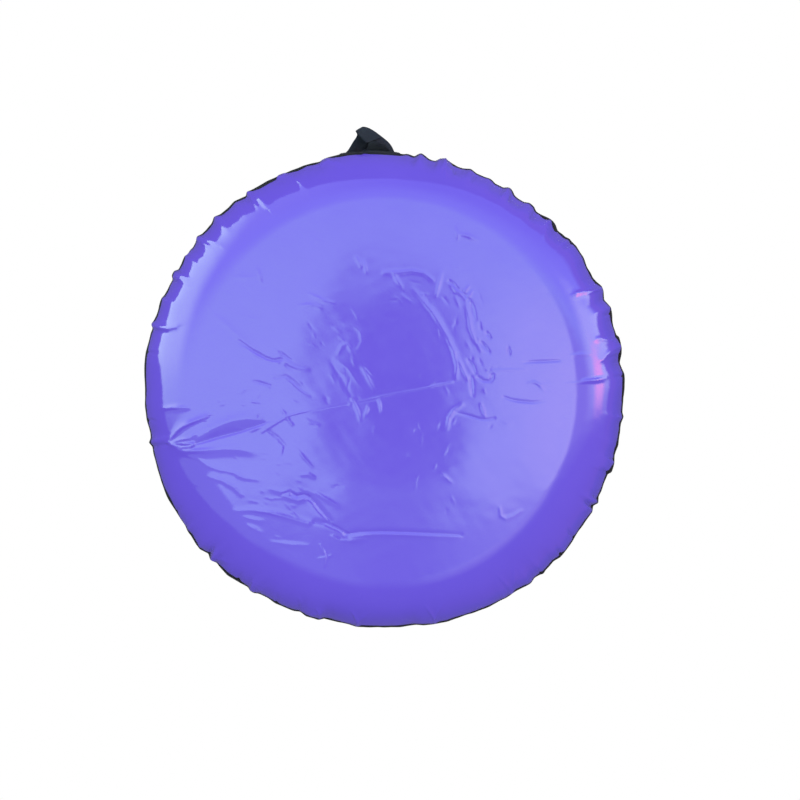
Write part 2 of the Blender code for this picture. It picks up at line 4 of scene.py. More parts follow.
import bmesh
import bpy
import numpy as np
from mathutils import Matrix, Vector


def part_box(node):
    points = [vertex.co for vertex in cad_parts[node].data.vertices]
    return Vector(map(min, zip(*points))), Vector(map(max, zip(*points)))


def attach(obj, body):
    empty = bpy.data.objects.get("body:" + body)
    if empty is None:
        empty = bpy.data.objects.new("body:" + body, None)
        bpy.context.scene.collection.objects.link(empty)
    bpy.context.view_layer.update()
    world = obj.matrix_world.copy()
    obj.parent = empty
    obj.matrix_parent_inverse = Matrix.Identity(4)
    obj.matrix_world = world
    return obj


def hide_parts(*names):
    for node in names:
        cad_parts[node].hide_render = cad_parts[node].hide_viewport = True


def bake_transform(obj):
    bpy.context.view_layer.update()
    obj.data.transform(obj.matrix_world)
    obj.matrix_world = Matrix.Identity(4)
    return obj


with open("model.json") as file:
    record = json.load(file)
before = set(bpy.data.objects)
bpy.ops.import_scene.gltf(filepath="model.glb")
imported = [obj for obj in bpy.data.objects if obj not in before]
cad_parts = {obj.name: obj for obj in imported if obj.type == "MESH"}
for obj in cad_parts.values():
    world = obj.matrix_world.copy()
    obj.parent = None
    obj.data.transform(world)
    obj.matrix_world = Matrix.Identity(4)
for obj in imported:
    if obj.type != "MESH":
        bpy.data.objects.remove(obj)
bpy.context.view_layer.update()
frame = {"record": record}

# The picture is taken straight up at the slick base, as at a tube leant back towards the viewer.
# Every fold below is placed by where it shows in that picture, in pixels from its top left corner.
picture_side = 800.0
picture_middle = picture_side / 2
lens_pixels = 1043.0
sensor_width = 36.0
camera_height = -2.2
camera_roll = radians(3.6)
disc_middle_px = (385.0, 390.0)
rim_pixel_size = 0.002239

base_low, base_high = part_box("base_panel")
middle_y = (base_low.y + base_high.y) / 2
picture_right = Vector((cos(camera_roll), sin(camera_roll), 0.0))
picture_up = Vector((sin(camera_roll), -cos(camera_roll), 0.0))
picture_back = Vector((0.0, 0.0, -1.0))
camera_place = Vector((0.0, middle_y, camera_height))
camera_place += picture_right * (picture_middle - disc_middle_px[0]) * rim_pixel_size
camera_place -= picture_up * (picture_middle - disc_middle_px[1]) * rim_pixel_size


def put(name, data):
    """Object of the scene from its data."""
    piece = bpy.data.objects.new(name, data)
    bpy.context.scene.collection.objects.link(piece)
    return piece


camera_data = bpy.data.cameras.new("picture_camera")
camera_data.sensor_width = sensor_width
camera_data.lens = sensor_width * lens_pixels / picture_side
camera_data.clip_start = 0.05
camera_data.clip_end = 60.0
camera = put("picture_camera", camera_data)
camera_turn = Matrix((picture_right, picture_up, picture_back)).transposed().to_4x4()
camera.matrix_world = Matrix.Translation(camera_place) @ camera_turn
bpy.context.scene.camera = camera
bpy.context.scene.view_settings.view_transform = "Standard"


def seen_at(px, py, height):
    """Point that shows at a pixel of the picture, at a given height above the ground."""
    depth = (height - camera_height) / lens_pixels
    place = camera_place + picture_right * (px - picture_middle) * depth
    place += picture_up * (picture_middle - py) * depth
    return Vector((place.x, place.y, height))


def pixels_of(points):
    """Pixel columns and rows at which an array of points shows."""
    offset = points - np.array(camera_place)
    scale = lens_pixels / offset[..., 2]
    return (
        picture_middle + offset @ np.array(picture_right) * scale,
        picture_middle - offset @ np.array(picture_up) * scale,
    )


# Floor and light. The floor is a pale matt sheet under the tube. It is left out for a look from below,
# where plain open sky lies before the base, as it does before a tube that is leant back.
floor_side = 14.0
floor_drop = 0.0006
floor_grey = 0.76
floor_fade_start = 0.75
floor_fade_stop = 1.9


class Wiring:
    """Short way to add and join the nodes of one tree."""

    def __init__(self, tree):
        self.tree = tree

    def add(self, kind, settings=None, **inputs):
        node = self.tree.nodes.new(kind)
        for key, value in (settings or {}).items():
            setattr(node, key, value)
        for key, value in inputs.items():
            self.feed(node, key.replace("_", " "), value)
        return node

    def feed(self, node, socket, value):
        target = node.inputs[int(socket) if socket.isdigit() else socket]
        if isinstance(value, bpy.types.NodeSocket):
            self.tree.links.new(value, target)
        else:
            target.default_value = value

    def sum(self, operation, *values, clamp=False):
        """One step of arithmetic."""
        node = self.add("ShaderNodeMath", {"operation": operation, "use_clamp": clamp})
        for socket, value in enumerate(values):
            self.feed(node, str(socket), value)
        return node.outputs[0]

    def times(self, product, *factors):
        """Product of several values."""
        for factor in factors:
            product = self.sum("MULTIPLY", product, factor)
        return product

    def step(self, value, start, stop):
        """0 at start, 1 at stop, smooth between."""
        node = self.add("ShaderNodeMapRange", {"interpolation_type": "SMOOTHSTEP"})
        for socket, number in enumerate((value, start, stop, 0.0, 1.0)):
            self.feed(node, str(socket), number)
        return node.outputs[0]

    def patch(self, *limits):
        """Product of steps, each given as a value and the pair of its start and stop."""
        return self.times(*(self.step(value, *pair) for value, pair in limits))

    def blend(self, share, first, second):
        """Mixed colour: the first where the share is 0, the second where it is 1."""
        node = self.add("ShaderNodeMix", {"data_type": "RGBA"})
        for socket, value in (("0", share), ("6", first), ("7", second)):
            self.feed(node, socket, value)
        return node.outputs[2]

    def along(self, direction, axis):
        """How far a direction goes along an axis."""
        node = self.add("ShaderNodeVectorMath", {"operation": "DOT_PRODUCT"}, Vector=direction)
        node.inputs[1].default_value = axis
        return node.outputs["Value"]

    def noise(self, scale, detail):
        """Noise that is fixed to the object, about 0.5 on average."""
        place = self.add("ShaderNodeTexCoord").outputs["Object"]
        return self.add("ShaderNodeTexNoise", Vector=place, Scale=scale, Detail=detail).outputs["Fac"]

    def dull(self, shader, cloud, spread, least):
        """Lets a shader's roughness vary with a noise."""
        self.feed(shader, "Roughness", self.sum("MULTIPLY_ADD", cloud, spread, least))

    def relief(self, shader, height, strength, distance):
        """Gives a shader a fine relief."""
        bump = self.add("ShaderNodeBump", Height=height, Strength=strength, Distance=distance)
        self.feed(shader, "Normal", bump.outputs[0])


half_floor = floor_side / 2
floor_mesh = bpy.data.meshes.new("floor")
floor_mesh.from_pydata([(x * half_floor, y * half_floor, -floor_drop)
                        for x, y in ((-1, -1), (1, -1), (1, 1), (-1, 1))], [], [(0, 1, 2, 3)])
floor = put("floor", floor_mesh)
floor_paint = bpy.data.materials.new("pale floor")
floor_paint.use_nodes = True
floor_paint.node_tree.nodes.clear()
floor_wires = Wiring(floor_paint.node_tree)
floor_surface = floor_wires.add("ShaderNodeBsdfDiffuse", Color=(floor_grey, floor_grey, floor_grey, 1))
floor_clear = floor_wires.add("ShaderNodeBsdfTransparent")
floor_rays = floor_wires.add("ShaderNodeLightPath")
camera_ray = floor_rays.outputs["Is Camera Ray"]
from_above = floor_wires.sum("SUBTRACT", 1.0, floor_wires.add("ShaderNodeNewGeometry").outputs["Backfacing"])
floor_place = floor_wires.add("ShaderNodeTexCoord").outputs["Object"]
floor_reach = floor_wires.add("ShaderNodeVectorMath", {"operation": "LENGTH"}, Vector=floor_place)
floor_near = floor_wires.step(floor_reach.outputs["Value"], floor_fade_stop, floor_fade_start)
floor_seen = floor_wires.times(camera_ray, from_above, floor_near)
met_first = floor_wires.sum("LESS_THAN", floor_rays.outputs["Transparent Depth"], 0.5)
floor_met = floor_wires.times(floor_wires.sum("SUBTRACT", 1.0, camera_ray), met_first)
floor_mix = floor_wires.add("ShaderNodeMixShader")
floor_shows = floor_wires.sum("ADD", floor_seen, floor_met, clamp=True)
for socket, value in (("0", floor_shows), ("1", floor_clear.outputs[0]), ("2", floor_surface.outputs[0])):
    floor_wires.feed(floor_mix, socket, value)
floor_wires.add("ShaderNodeOutputMaterial", Surface=floor_mix.outputs[0])
floor_mesh.materials.append(floor_paint)

# Edge of the bright sky that the base mirrors: its angle from straight down, and how it swings with
# the way that one looks, over one, two and three periods of the turn
sky_edge_middle = radians(50.4)
sky_edge_right = radians(-13.0)
sky_edge_up = radians(33.0)
sky_edge_long = radians(22.0)
sky_edge_slant = radians(4.5)
sky_edge_three = radians(10.1)
sky_left_drop = radians(-8.0)
sky_edge_least = radians(22.0)
edge_sharp = 0.02
edge_soft = 0.26
edge_tilt = 0.7
edge_turn = (-0.20, 0.25)

# Patches of it, as pairs of the looks to the right, up or down at which they start and are full
left_drop_right, left_drop_low, left_drop_high = (-0.60, -0.95), (-0.20, -0.06), (0.20, 0.06)
shade_offset, shade_side, shade_top, shade_foot = 0.006, (0.064, 0.022), (0.145, 0.050), (-0.13, -0.02)
shade_depth, shade_foot_keep = -1.0, 0.5
low_shade_up, low_shade_right, low_shade_depth, low_shade_ease = (-0.078, -0.120), (0.0, 0.12), -0.73, 0.17
right_shade_right, right_shade_up, right_shade_depth = (0.20, 0.32), (0.20, 0.07), -0.72
warm_right, warm_up = (0.0, 0.20), (0.17, 0.01)
left_right, left_up = (-0.50, -0.78), (-0.10, 0.20)
land_right, land_down = (0.1, 0.8), (-0.40, -0.10)
glow_right, glow_down, glow_low, glow_high = (0.50, 0.76), (0.00, 0.18), (-0.20, 0.16), (0.46, 0.30)
glare_middle, glare_side, glare_down = 0.86, (0.15, 0.03), (0.2, 0.4)
glare_low, glare_high = (-0.14, 0.06), (0.21, 0.11)
high_up, top_up, top_right, overhead_down = (0.40, 0.0), (0.36, 0.72), (0.10, -0.45), (-0.55, -0.80)

sky_top = (0.42, 0.50, 1.30, 1)
sky_top_left = (0.78, 0.98, 1.60, 1)
sky_high = (0.80, 1.05, 2.0, 1)
sky_low = (1.55, 2.25, 2.1, 1)
sky_warm = (2.75, 2.80, 2.35, 1)
sky_left = (2.45, 3.25, 2.60, 1)
low_sun = (7.0, 2.7, 2.1, 1)
right_glow = (2.6, 2.9, 2.5, 1)
land_dim = (0.10, 0.10, 0.13, 1)
land_warm = (0.26, 0.13, 0.13, 1)
overhead_soft = (0.12, 0.12, 0.13, 1)
day_bright = (1.08, 1.07, 1.08, 1)
day_dim = (0.27, 0.255, 0.31, 1)
day_reach = (-0.75, 0.35)
day_back, day_up, day_right = 0.75, 0.60, 0.10
pure_white = (1, 1, 1, 1)

world = bpy.data.worlds.new("open sky")
bpy.context.scene.world = world
world.use_nodes = True
world.node_tree.nodes.clear()
world.cycles.sampling_method = "NONE"
sky = Wiring(world.node_tree)
look = sky.add("ShaderNodeTexCoord").outputs["Generated"]
look_right = sky.along(look, picture_right)
look_up = sky.along(look, picture_up)
look_down = sky.along(look, picture_back)
look_away = sky.sum("SQRT", sky.sum("SUBTRACT", 1.0, sky.times(look_down, look_down), clamp=True))
look_away = sky.sum("MAXIMUM", look_away, 0.001)
turn_right = sky.sum("DIVIDE", look_right, look_away)
turn_up = sky.sum("DIVIDE", look_up, look_away)
turn_twice = sky.sum("SUBTRACT", sky.times(turn_right, turn_right), sky.times(turn_up, turn_up))
turn_slant = sky.times(turn_right, turn_up, 2.0)
turn_three = sky.sum("MULTIPLY_ADD", turn_up, 3.0, sky.times(turn_up, turn_up, turn_up, -4.0))
left_drop = sky.patch((turn_right, left_drop_right), (turn_up, left_drop_low), (turn_up, left_drop_high))
sky_edge = sky_edge_middle
for turn, swing in ((turn_right, sky_edge_right), (turn_up, sky_edge_up), (turn_twice, sky_edge_long),
                    (turn_slant, sky_edge_slant), (turn_three, sky_edge_three), (left_drop, sky_left_drop)):
    sky_edge = sky.sum("MULTIPLY_ADD", turn, swing, sky_edge)
sky_edge = sky.sum("MAXIMUM", sky_edge, sky_edge_least)
sky_within = sky.sum("SUBTRACT", sky_edge, sky.sum("ARCCOSINE", look_down))
softness = sky.sum("MULTIPLY_ADD", look_up, -edge_tilt, sky.times(look_right, edge_tilt))
softness = sky.sum("MULTIPLY_ADD", sky.step(softness, *edge_turn), edge_soft, edge_sharp)
sky_share = sky.sum("ADD", sky.sum("DIVIDE", sky_within, softness), 0.5, clamp=True)

shade_off = sky.sum("ABSOLUTE", sky.sum("ADD", look_right, shade_offset))
shade_low = sky.sum("MULTIPLY_ADD", sky.step(look_up, *shade_foot), 1 - shade_foot_keep, shade_foot_keep)
shade = sky.times(sky.patch((shade_off, shade_side), (look_up, shade_top)), shade_low)
low_strength = sky.sum("MULTIPLY_ADD", sky.step(look_right, *low_shade_right), low_shade_ease, low_shade_depth)
right_shade = sky.patch((look_right, right_shade_right), (look_up, right_shade_up))
for shadow, depth in ((shade, shade_depth), (sky.step(look_up, *low_shade_up), low_strength),
                      (right_shade, right_shade_depth)):
    sky_share = sky.times(sky_share, sky.sum("MULTIPLY_ADD", shadow, depth, 1.0))

sky_colour = sky.blend(sky.step(look_up, *high_up), sky_high, sky_low)
top_colour = sky.blend(sky.step(look_right, *top_right), sky_top, sky_top_left)
sky_colour = sky.blend(sky.step(look_up, *top_up), sky_colour, top_colour)
sky_colour = sky.blend(sky.patch((look_right, warm_right), (look_up, warm_up)), sky_colour, sky_warm)
sky_colour = sky.blend(sky.patch((look_right, left_right), (look_up, left_up)), sky_colour, sky_left)
land_colour = sky.blend(sky.patch((look_right, land_right), (look_down, land_down)), land_dim, land_warm)
mirrored = sky.blend(sky_share, land_colour, sky_colour)
glow = sky.patch((look_right, glow_right), (look_down, glow_down), (look_up, glow_low), (look_up, glow_high))
mirrored = sky.blend(glow, mirrored, right_glow)
glare_off = sky.sum("ABSOLUTE", sky.sum("SUBTRACT", look_right, glare_middle))
glare = sky.patch((glare_off, glare_side), (look_up, glare_low), (look_up, glare_high), (look_down, glare_down))
mirrored = sky.blend(glare, mirrored, low_sun)
mirrored = sky.blend(sky.step(look_down, *overhead_down), mirrored, overhead_soft)
day_axis = (picture_back * day_back + picture_up * day_up + picture_right * day_right).normalized()
day = sky.blend(sky.step(sky.along(look, day_axis), *day_reach), day_dim, day_bright)
rays = sky.add("ShaderNodeLightPath")
seen = sky.blend(rays.outputs["Is Glossy Ray"], day, mirrored)
plain = sky.sum("MAXIMUM", rays.outputs["Is Camera Ray"], rays.outputs["Is Transmission Ray"])
seen = sky.blend(plain, seen, pure_white)
sky.add("ShaderNodeOutputWorld", Surface=sky.add("ShaderNodeBackground", Color=seen).outputs[0])

# Lamps: place, side in metres and power in watts
lamps = {
    "key": ((1.6, -1.9, 2.3), 1.6, 52.0),
    "fill": ((-2.2, -0.6, 1.9), 1.9, 28.0),
    "back": ((0.3, 2.4, 2.2), 1.7, 28.0),
}
for lamp_name, (lamp_place, lamp_side, lamp_power) in lamps.items():
    lamp_data = bpy.data.lights.new(lamp_name, "AREA")
    lamp_data.shape = "SQUARE"
    lamp_data.size = lamp_side
    lamp_data.energy = lamp_power
    lamp = put(lamp_name, lamp_data)
    lamp.location = lamp_place
    lamp.rotation_euler = (-Vector(lamp_place)).to_track_quat("-Z", "Y").to_euler()
    lamp.visible_camera = lamp.visible_glossy = False


# Slick base: one round sheet of purple coated vinyl, drawn tight over the underside of the tube by
# its gathered rim seam. Packing creases and the star at the left have set in its glossy skin.
outer_radius = 0.535
section_radius = 0.135
ring_radius = outer_radius - section_radius
contact_inner_radius = 0.370
contact_outer_radius = 0.400
dish_depth = 0.0035
rim_lean = radians(-12.9)
seam_show = 0.5
round_columns = 1440
dish_rows = 210
flat_rows = 12
curve_rows = 84

# Outline of the rim clockwise from the left, read off enlarged crops: column, row and width of the
# dark edge, in pixels
rim_silhouette = [
    (145.2, 390, 1.4), (145, 362, 1.4), (146.1, 352.6, 1.3), (149, 341, 1), (150.7, 333.5, 1.4),
    (152.8, 328.6, 1.3), (151.7, 323.6, 0.4), (154.2, 320.5, 1.8), (156.6, 315.5, 1.4), (158.3, 310, 1.2),
    (161, 300.6, 1.3), (162, 298, 0.8), (164.5, 295.5, 1.6), (167.8, 290, 1), (170.5, 284, 0.6),
    (172.8, 279.7, 0.8), (171.6, 275.4, 1.9), (174, 270.6, 1.7), (178, 269.6, 1.6), (181.1, 263.4, 2.2),
    (184.5, 255.6, 1.6), (187.4, 254.2, 0.4), (190.7, 249.6, 0.5), (193, 247.8, 0.8), (196.5, 241.4, 0.5),
    (197.2, 236.9, 0.4), (202.2, 234.3, 1.8), (207, 229.5, 1.5), (211.8, 223.9, 1.2), (213.3, 220, 0.8),
    (214.2, 217, 0.3), (220.4, 214.4, 2.2), (229, 207.5, 1.8), (234.7, 201.4, 1.2), (242.4, 197.6, 2),
    (246.3, 196, 1.3), (246.7, 191.7, 0.3), (251, 189.8, 3.4), (258, 186, 3.8), (267.3, 180.9, 3.2),
    (275.5, 177.4, 2.6), (278, 175.9, 0.3), (284.5, 173.2, 0.3), (288, 171.9, 2.4), (297, 168.4, 2.8),
    (303.7, 165.7, 2.2), (307, 165, 0.9), (314, 163.2, 1.7), (320.5, 161.7, 1.8), (321.2, 160.6, 0.3),
    (327.1, 157.8, 0.3), (332, 156.3, 2.3), (340, 154.3, 2.8), (346.5, 153, 2.6), (355, 152.2, 2.4),
    (362, 152.3, 2.2), (364.9, 152.2, 0.9), (368, 151.9, 2.1), (385, 152, 2.6), (395, 152.9, 2.4),
    (400.6, 154, 1.6), (404, 154.6, 0.7), (407.8, 154.2, 0.3), (411, 155.2, 1.3), (414.9, 156.7, 1),
    (417.4, 154.9, 0.6), (421.5, 153.3, 0.3), (425, 155.6, 0.9), (429.2, 158.7, 1.1), (433, 160.2, 0.8),
    (437.2, 160.8, 0.5), (438.6, 158.8, 0.3), (445.5, 158.2, 0.2), (450, 161.4, 0.3), (453.5, 164, 1.3),
    (458, 166.8, 0.5), (462.9, 168.5, 0.5), (467.5, 168.7, 1), (471.2, 168.6, 0.9), (474.5, 171, 0.9),
    (477.1, 173.2, 0.9), (484, 176.2, 1), (490.4, 178.3, 0.7), (493, 180.4, 1), (495.5, 183.4, 0.9),
    (499, 185.3, 0.6), (503.7, 187.7, 0.8), (508.8, 187.4, 0.4), (511.3, 188.9, 0.3), (513.1, 191.4, 0.9),
    (514.9, 195.4, 0.9), (518.5, 198.7, 0.6), (524.1, 202, 0.5), (530.2, 202.8, 0.9), (534.3, 206.8, 0.9),
    (536.2, 211.2, 1.1), (537.6, 212.6, 0.4), (540.7, 214.5, 0.5), (545, 216.3, 2.4), (549.1, 218, 2.9),
    (551.6, 219.6, 0.5), (553.6, 221.4, 2.2), (556, 225, 3.6), (557.5, 230.4, 2.2), (558.8, 232, 0.3),
    (561.4, 234, 0.9), (565.1, 237.4, 1), (569.7, 239.3, 0.8), (570.8, 241.3, 0.3), (576.6, 246.2, 1),
    (580, 251.2, 0.9), (583.5, 256.8, 0.8), (587.3, 267, 0.8), (592.7, 277.8, 0.7), (597, 282.4, 1.6),
    (601.9, 286.6, 0.8), (603.9, 291, 0.8), (604.6, 299.8, 0.9), (608, 303.2, 0.9), (611.4, 307.3, 0.7),
    (612.2, 313, 1.7), (612.7, 320.6, 1.2), (614, 327, 0.5), (615.9, 333, 0.5), (617, 335.8, 0.9),
    (619.2, 336, 2.2), (620.7, 341.4, 1.7), (622.1, 348.6, 1.2), (621.9, 353.6, 2.8), (620.7, 358.7, 1.8),
    (619.8, 363, 0.5), (622, 369.2, 0.3), (624.6, 374, 0.9), (625.2, 381, 2.1), (625, 388.6, 1.9),
    (623.6, 398, 1.1), (622.9, 406, 0.6), (622.6, 412.8, 0.9), (623.8, 416.6, 0.3), (621.4, 423.6, 1.5),
    (620.4, 429, 0.6), (619.3, 436, 0.5), (618.5, 445.2, 1.7), (616.6, 450, 1.5), (614.9, 455, 0.7),
    (614.5, 463.6, 0.4), (611.8, 472.8, 2.9), (608.4, 474, 1.2), (605.3, 481.4, 1), (602, 490.7, 0.9),
    (598.9, 496.4, 0.5), (598.3, 503.2, 0.8), (593.2, 505.6, 0.7), (592.6, 511.8, 0.2), (586.8, 520.6, 1.2),
    (580.5, 529.6, 1), (573.4, 541, 0.9), (566.6, 550.4, 0.8), (560, 557.2, 1), (553.4, 561.4, 0.8),
    (546, 569.8, 0.6), (543.6, 573.6, 1.4), (539.5, 574.8, 0.4), (535, 577.9, 0.5), (531.2, 583.8, 0.4),
    (524, 587.6, 1.3), (516.5, 591.3, 1.4), (511.9, 594.4, 0.4), (506.6, 598.3, 0.6), (499.7, 601.4, 0.6),
    (489.7, 607, 1.1), (479.8, 611, 1.2), (470.6, 614.2, 1), (455.3, 619.2, 1.3), (447.7, 621.8, 1.1),
    (440, 623.2, 1), (432.7, 624.5, 0.3), (423.5, 625.6, 1), (415.3, 624.7, 0.4), (410.2, 625.2, 0.4),
    (401, 626.8, 0.7), (388, 627.3, 0.8), (376.5, 627.3, 0.9), (362, 627.3, 1.4), (356.4, 626.9, 0.3),
    (349, 624.8, 0.6), (330.6, 619.6, 0.4), (324.5, 618.8, 0.8), (318.4, 620, 1.1), (306.1, 616.4, 1),
    (300.4, 611.6, 0.8), (293.2, 610.6, 0.5), (286, 607.8, 0.6), (275.4, 603.4, 1.1), (268.2, 598.4, 0.7),
    (259.3, 593.6, 0.3), (253.9, 593, 0.4), (250.2, 590.8, 0.6), (248.4, 587.2, 0.3), (237, 580.6, 1.6),
    (227.1, 574.8, 2.1), (220, 567.2, 1.6), (216.6, 562.8, 0.4), (213.8, 561.8, 1.7), (210.6, 560, 1),
    (208.8, 553.6, 0.8), (205.7, 551.9, 0.5), (200.4, 549, 0.8), (195.9, 543.8, 1.5), (191.4, 536.2, 1.8),
    (187.9, 531.8, 1.5), (185.2, 525.4, 0.3), (178.9, 516.8, 0.7), (174.8, 510.2, 1.3), (168.7, 500, 2.4),
    (164, 488.6, 1), (158, 469.8, 0.8), (153.3, 452, 0.9), (152.6, 446.8, 0.4), (148.9, 442.8, 1.7),
    (150.9, 438.6, 1), (150.6, 433.6, 0.9), (147.2, 420.4, 0.7), (144.8, 402, 1.2),
]


def section_point(angle):
    """Radius and height on the tube's round section, at an angle up from its outermost line."""
    return ring_radius + section_radius * np.cos(angle), section_radius * (1 + np.sin(angle))


def pixel_reach(angle):
    """Distance from the middle of the disc at which an even rim would show."""
    radius, height = section_point(angle)
    return radius * lens_pixels / (height - camera_height)


def round_smooth(values, passes):
    """Running mean over the columns, round the whole turn."""
    for _ in range(passes):
        values = (np.roll(values, 1) + 2 * values + np.roll(values, -1)) / 4
    return values


column_turns = np.arange(round_columns) * 2 * pi / round_columns
column_way = np.stack([np.cos(column_turns), np.sin(column_turns), np.zeros(round_columns)], 1)
column_right = column_way @ np.array(picture_right)
column_up = column_way @ np.array(picture_up)
column_dial = np.arctan2(column_up, column_right)
rim_x, rim_y, rim_dark = np.array(rim_silhouette).T
rim_x, rim_y = rim_x - disc_middle_px[0], disc_middle_px[1] - rim_y
rim_dial = np.arctan2(rim_y, rim_x)
rim_reach = round_smooth(np.interp(column_dial, rim_dial, np.hypot(rim_x, rim_y), period=2 * pi), 1)
dark_edge = round_smooth(np.interp(column_dial, rim_dial, rim_dark, period=2 * pi), 2)
widest_reach = pixel_reach(rim_lean)
rim_bulge = (rim_reach - widest_reach) * rim_pixel_size

lean_angles = np.linspace(radians(-50), rim_lean, 200)
lean_reach = pixel_reach(lean_angles)
base_edge_angle = np.interp(widest_reach - dark_edge - seam_show, lean_reach, lean_angles)
gather_inner_angle = radians(-66)
gather_full_from, gather_full_to = radians(-32), radians(2)


def smooth(share):
    """Eases a share between 0 and 1 at both ends."""
    return share**2 * (3 - 2 * share)


def bulge_share(angle, upper_angle):
    """How far the gathers of the rim seam reach along the section."""
    inner = np.clip((angle - gather_inner_angle) / (gather_full_from - gather_inner_angle), 0, 1)
    upper = np.clip((upper_angle - angle) / (upper_angle - gather_full_to), 0, 1)
    return smooth(inner) * smooth(upper)


def grid_piece(name, points, wraps, sizes=None):
    """Smooth sheet over a grid of points [row, column, xyz], with its cloth lengths as the UV map."""
    rows, columns = points.shape[:2]
    mesh = bpy.data.meshes.new(name)
    mesh.vertices.add(rows * columns)
    mesh.vertices.foreach_set("co", points.reshape(-1).astype(np.float32))
    spans = columns if wraps else columns - 1
    row_index, column_index = np.meshgrid(np.arange(rows - 1), np.arange(spans), indexing="ij")
    after = (column_index + 1) % columns
    corners = np.stack([
        row_index * columns + column_index, row_index * columns + after,
        (row_index + 1) * columns + after, (row_index + 1) * columns + column_index,
    ], -1).reshape(-1, 4)
    mesh.loops.add(corners.size)
    mesh.polygons.add(len(corners))
    mesh.loops.foreach_set("vertex_index", corners.reshape(-1).astype(np.int32))
    mesh.polygons.foreach_set("loop_start", np.arange(0, corners.size, 4, dtype=np.int32))
    mesh.polygons.foreach_set("use_smooth", np.ones(len(corners), bool))
    if sizes is not None:
        across, down = sizes
        here, beside, below = (row_index, column_index), (row_index, after), row_index + 1
        u = across[here]
        next_u = np.where(after == 0, 2 * u - across[row_index, column_index - 1], across[beside])
        u = np.stack([u, next_u, next_u, u], -1)
        v = np.stack([down[here], down[beside], down[below, after], down[below, column_index]], -1)
        layer = mesh.uv_layers.new(name="cloth")
        layer.data.foreach_set("uv", np.stack([u, v], -1).reshape(-1).astype(np.float32))
    mesh.update(calc_edges=True)
    mesh.validate()
    return put(name, mesh)


def mesh_area(piece):
    """Area of a piece in square metres."""
    areas = np.zeros(len(piece.data.polygons))
    piece.data.polygons.foreach_get("area", areas)
    return float(areas.sum())


# Sheet from its middle out: shallow dish, ring that it stands on, curve up to the rim seam
dish_radii = np.linspace(0.00015, contact_inner_radius, dish_rows)
dish_heights = dish_depth * (1 - (dish_radii / contact_inner_radius) ** 2) ** 2
flat_radii = np.linspace(contact_inner_radius, contact_outer_radius, flat_rows + 1)[1:]
curve_shares = np.linspace(0.0, 1.0, curve_rows + 1)[1:]
start_angle = radians(-90)
base_points = np.zeros((dish_rows + flat_rows + curve_rows, round_columns, 3))
section_spot = np.full(base_points.shape[:2], start_angle)
for row, radius in enumerate([*dish_radii, *flat_radii]):
    base_points[row] = column_way * radius
base_points[:dish_rows, :, 2] = dish_heights[:, None]
for row, share in enumerate(curve_shares, dish_rows + flat_rows):
    angle = start_angle + (base_edge_angle - start_angle) * share
    radius, height = section_point(angle)
    base_points[row] = column_way * radius[:, None]
    base_points[row, :, 2] = height
    section_spot[row] = angle
base_points[..., 1] += middle_y


def grid_normals(points):
    """Unit normals of a wrapped grid, on the side away from the tube."""
    along = np.roll(points, -1, axis=1) - np.roll(points, 1, axis=1)
    down = np.gradient(points, axis=0)
    normal = np.cross(down, along)
    return normal / np.maximum(np.linalg.norm(normal, axis=-1, keepdims=True), 1e-12)


base_normals = grid_normals(base_points)
if base_normals[dish_rows, 0, 2] > 0:
    base_normals = -base_normals
base_px, base_py = pixels_of(base_points)

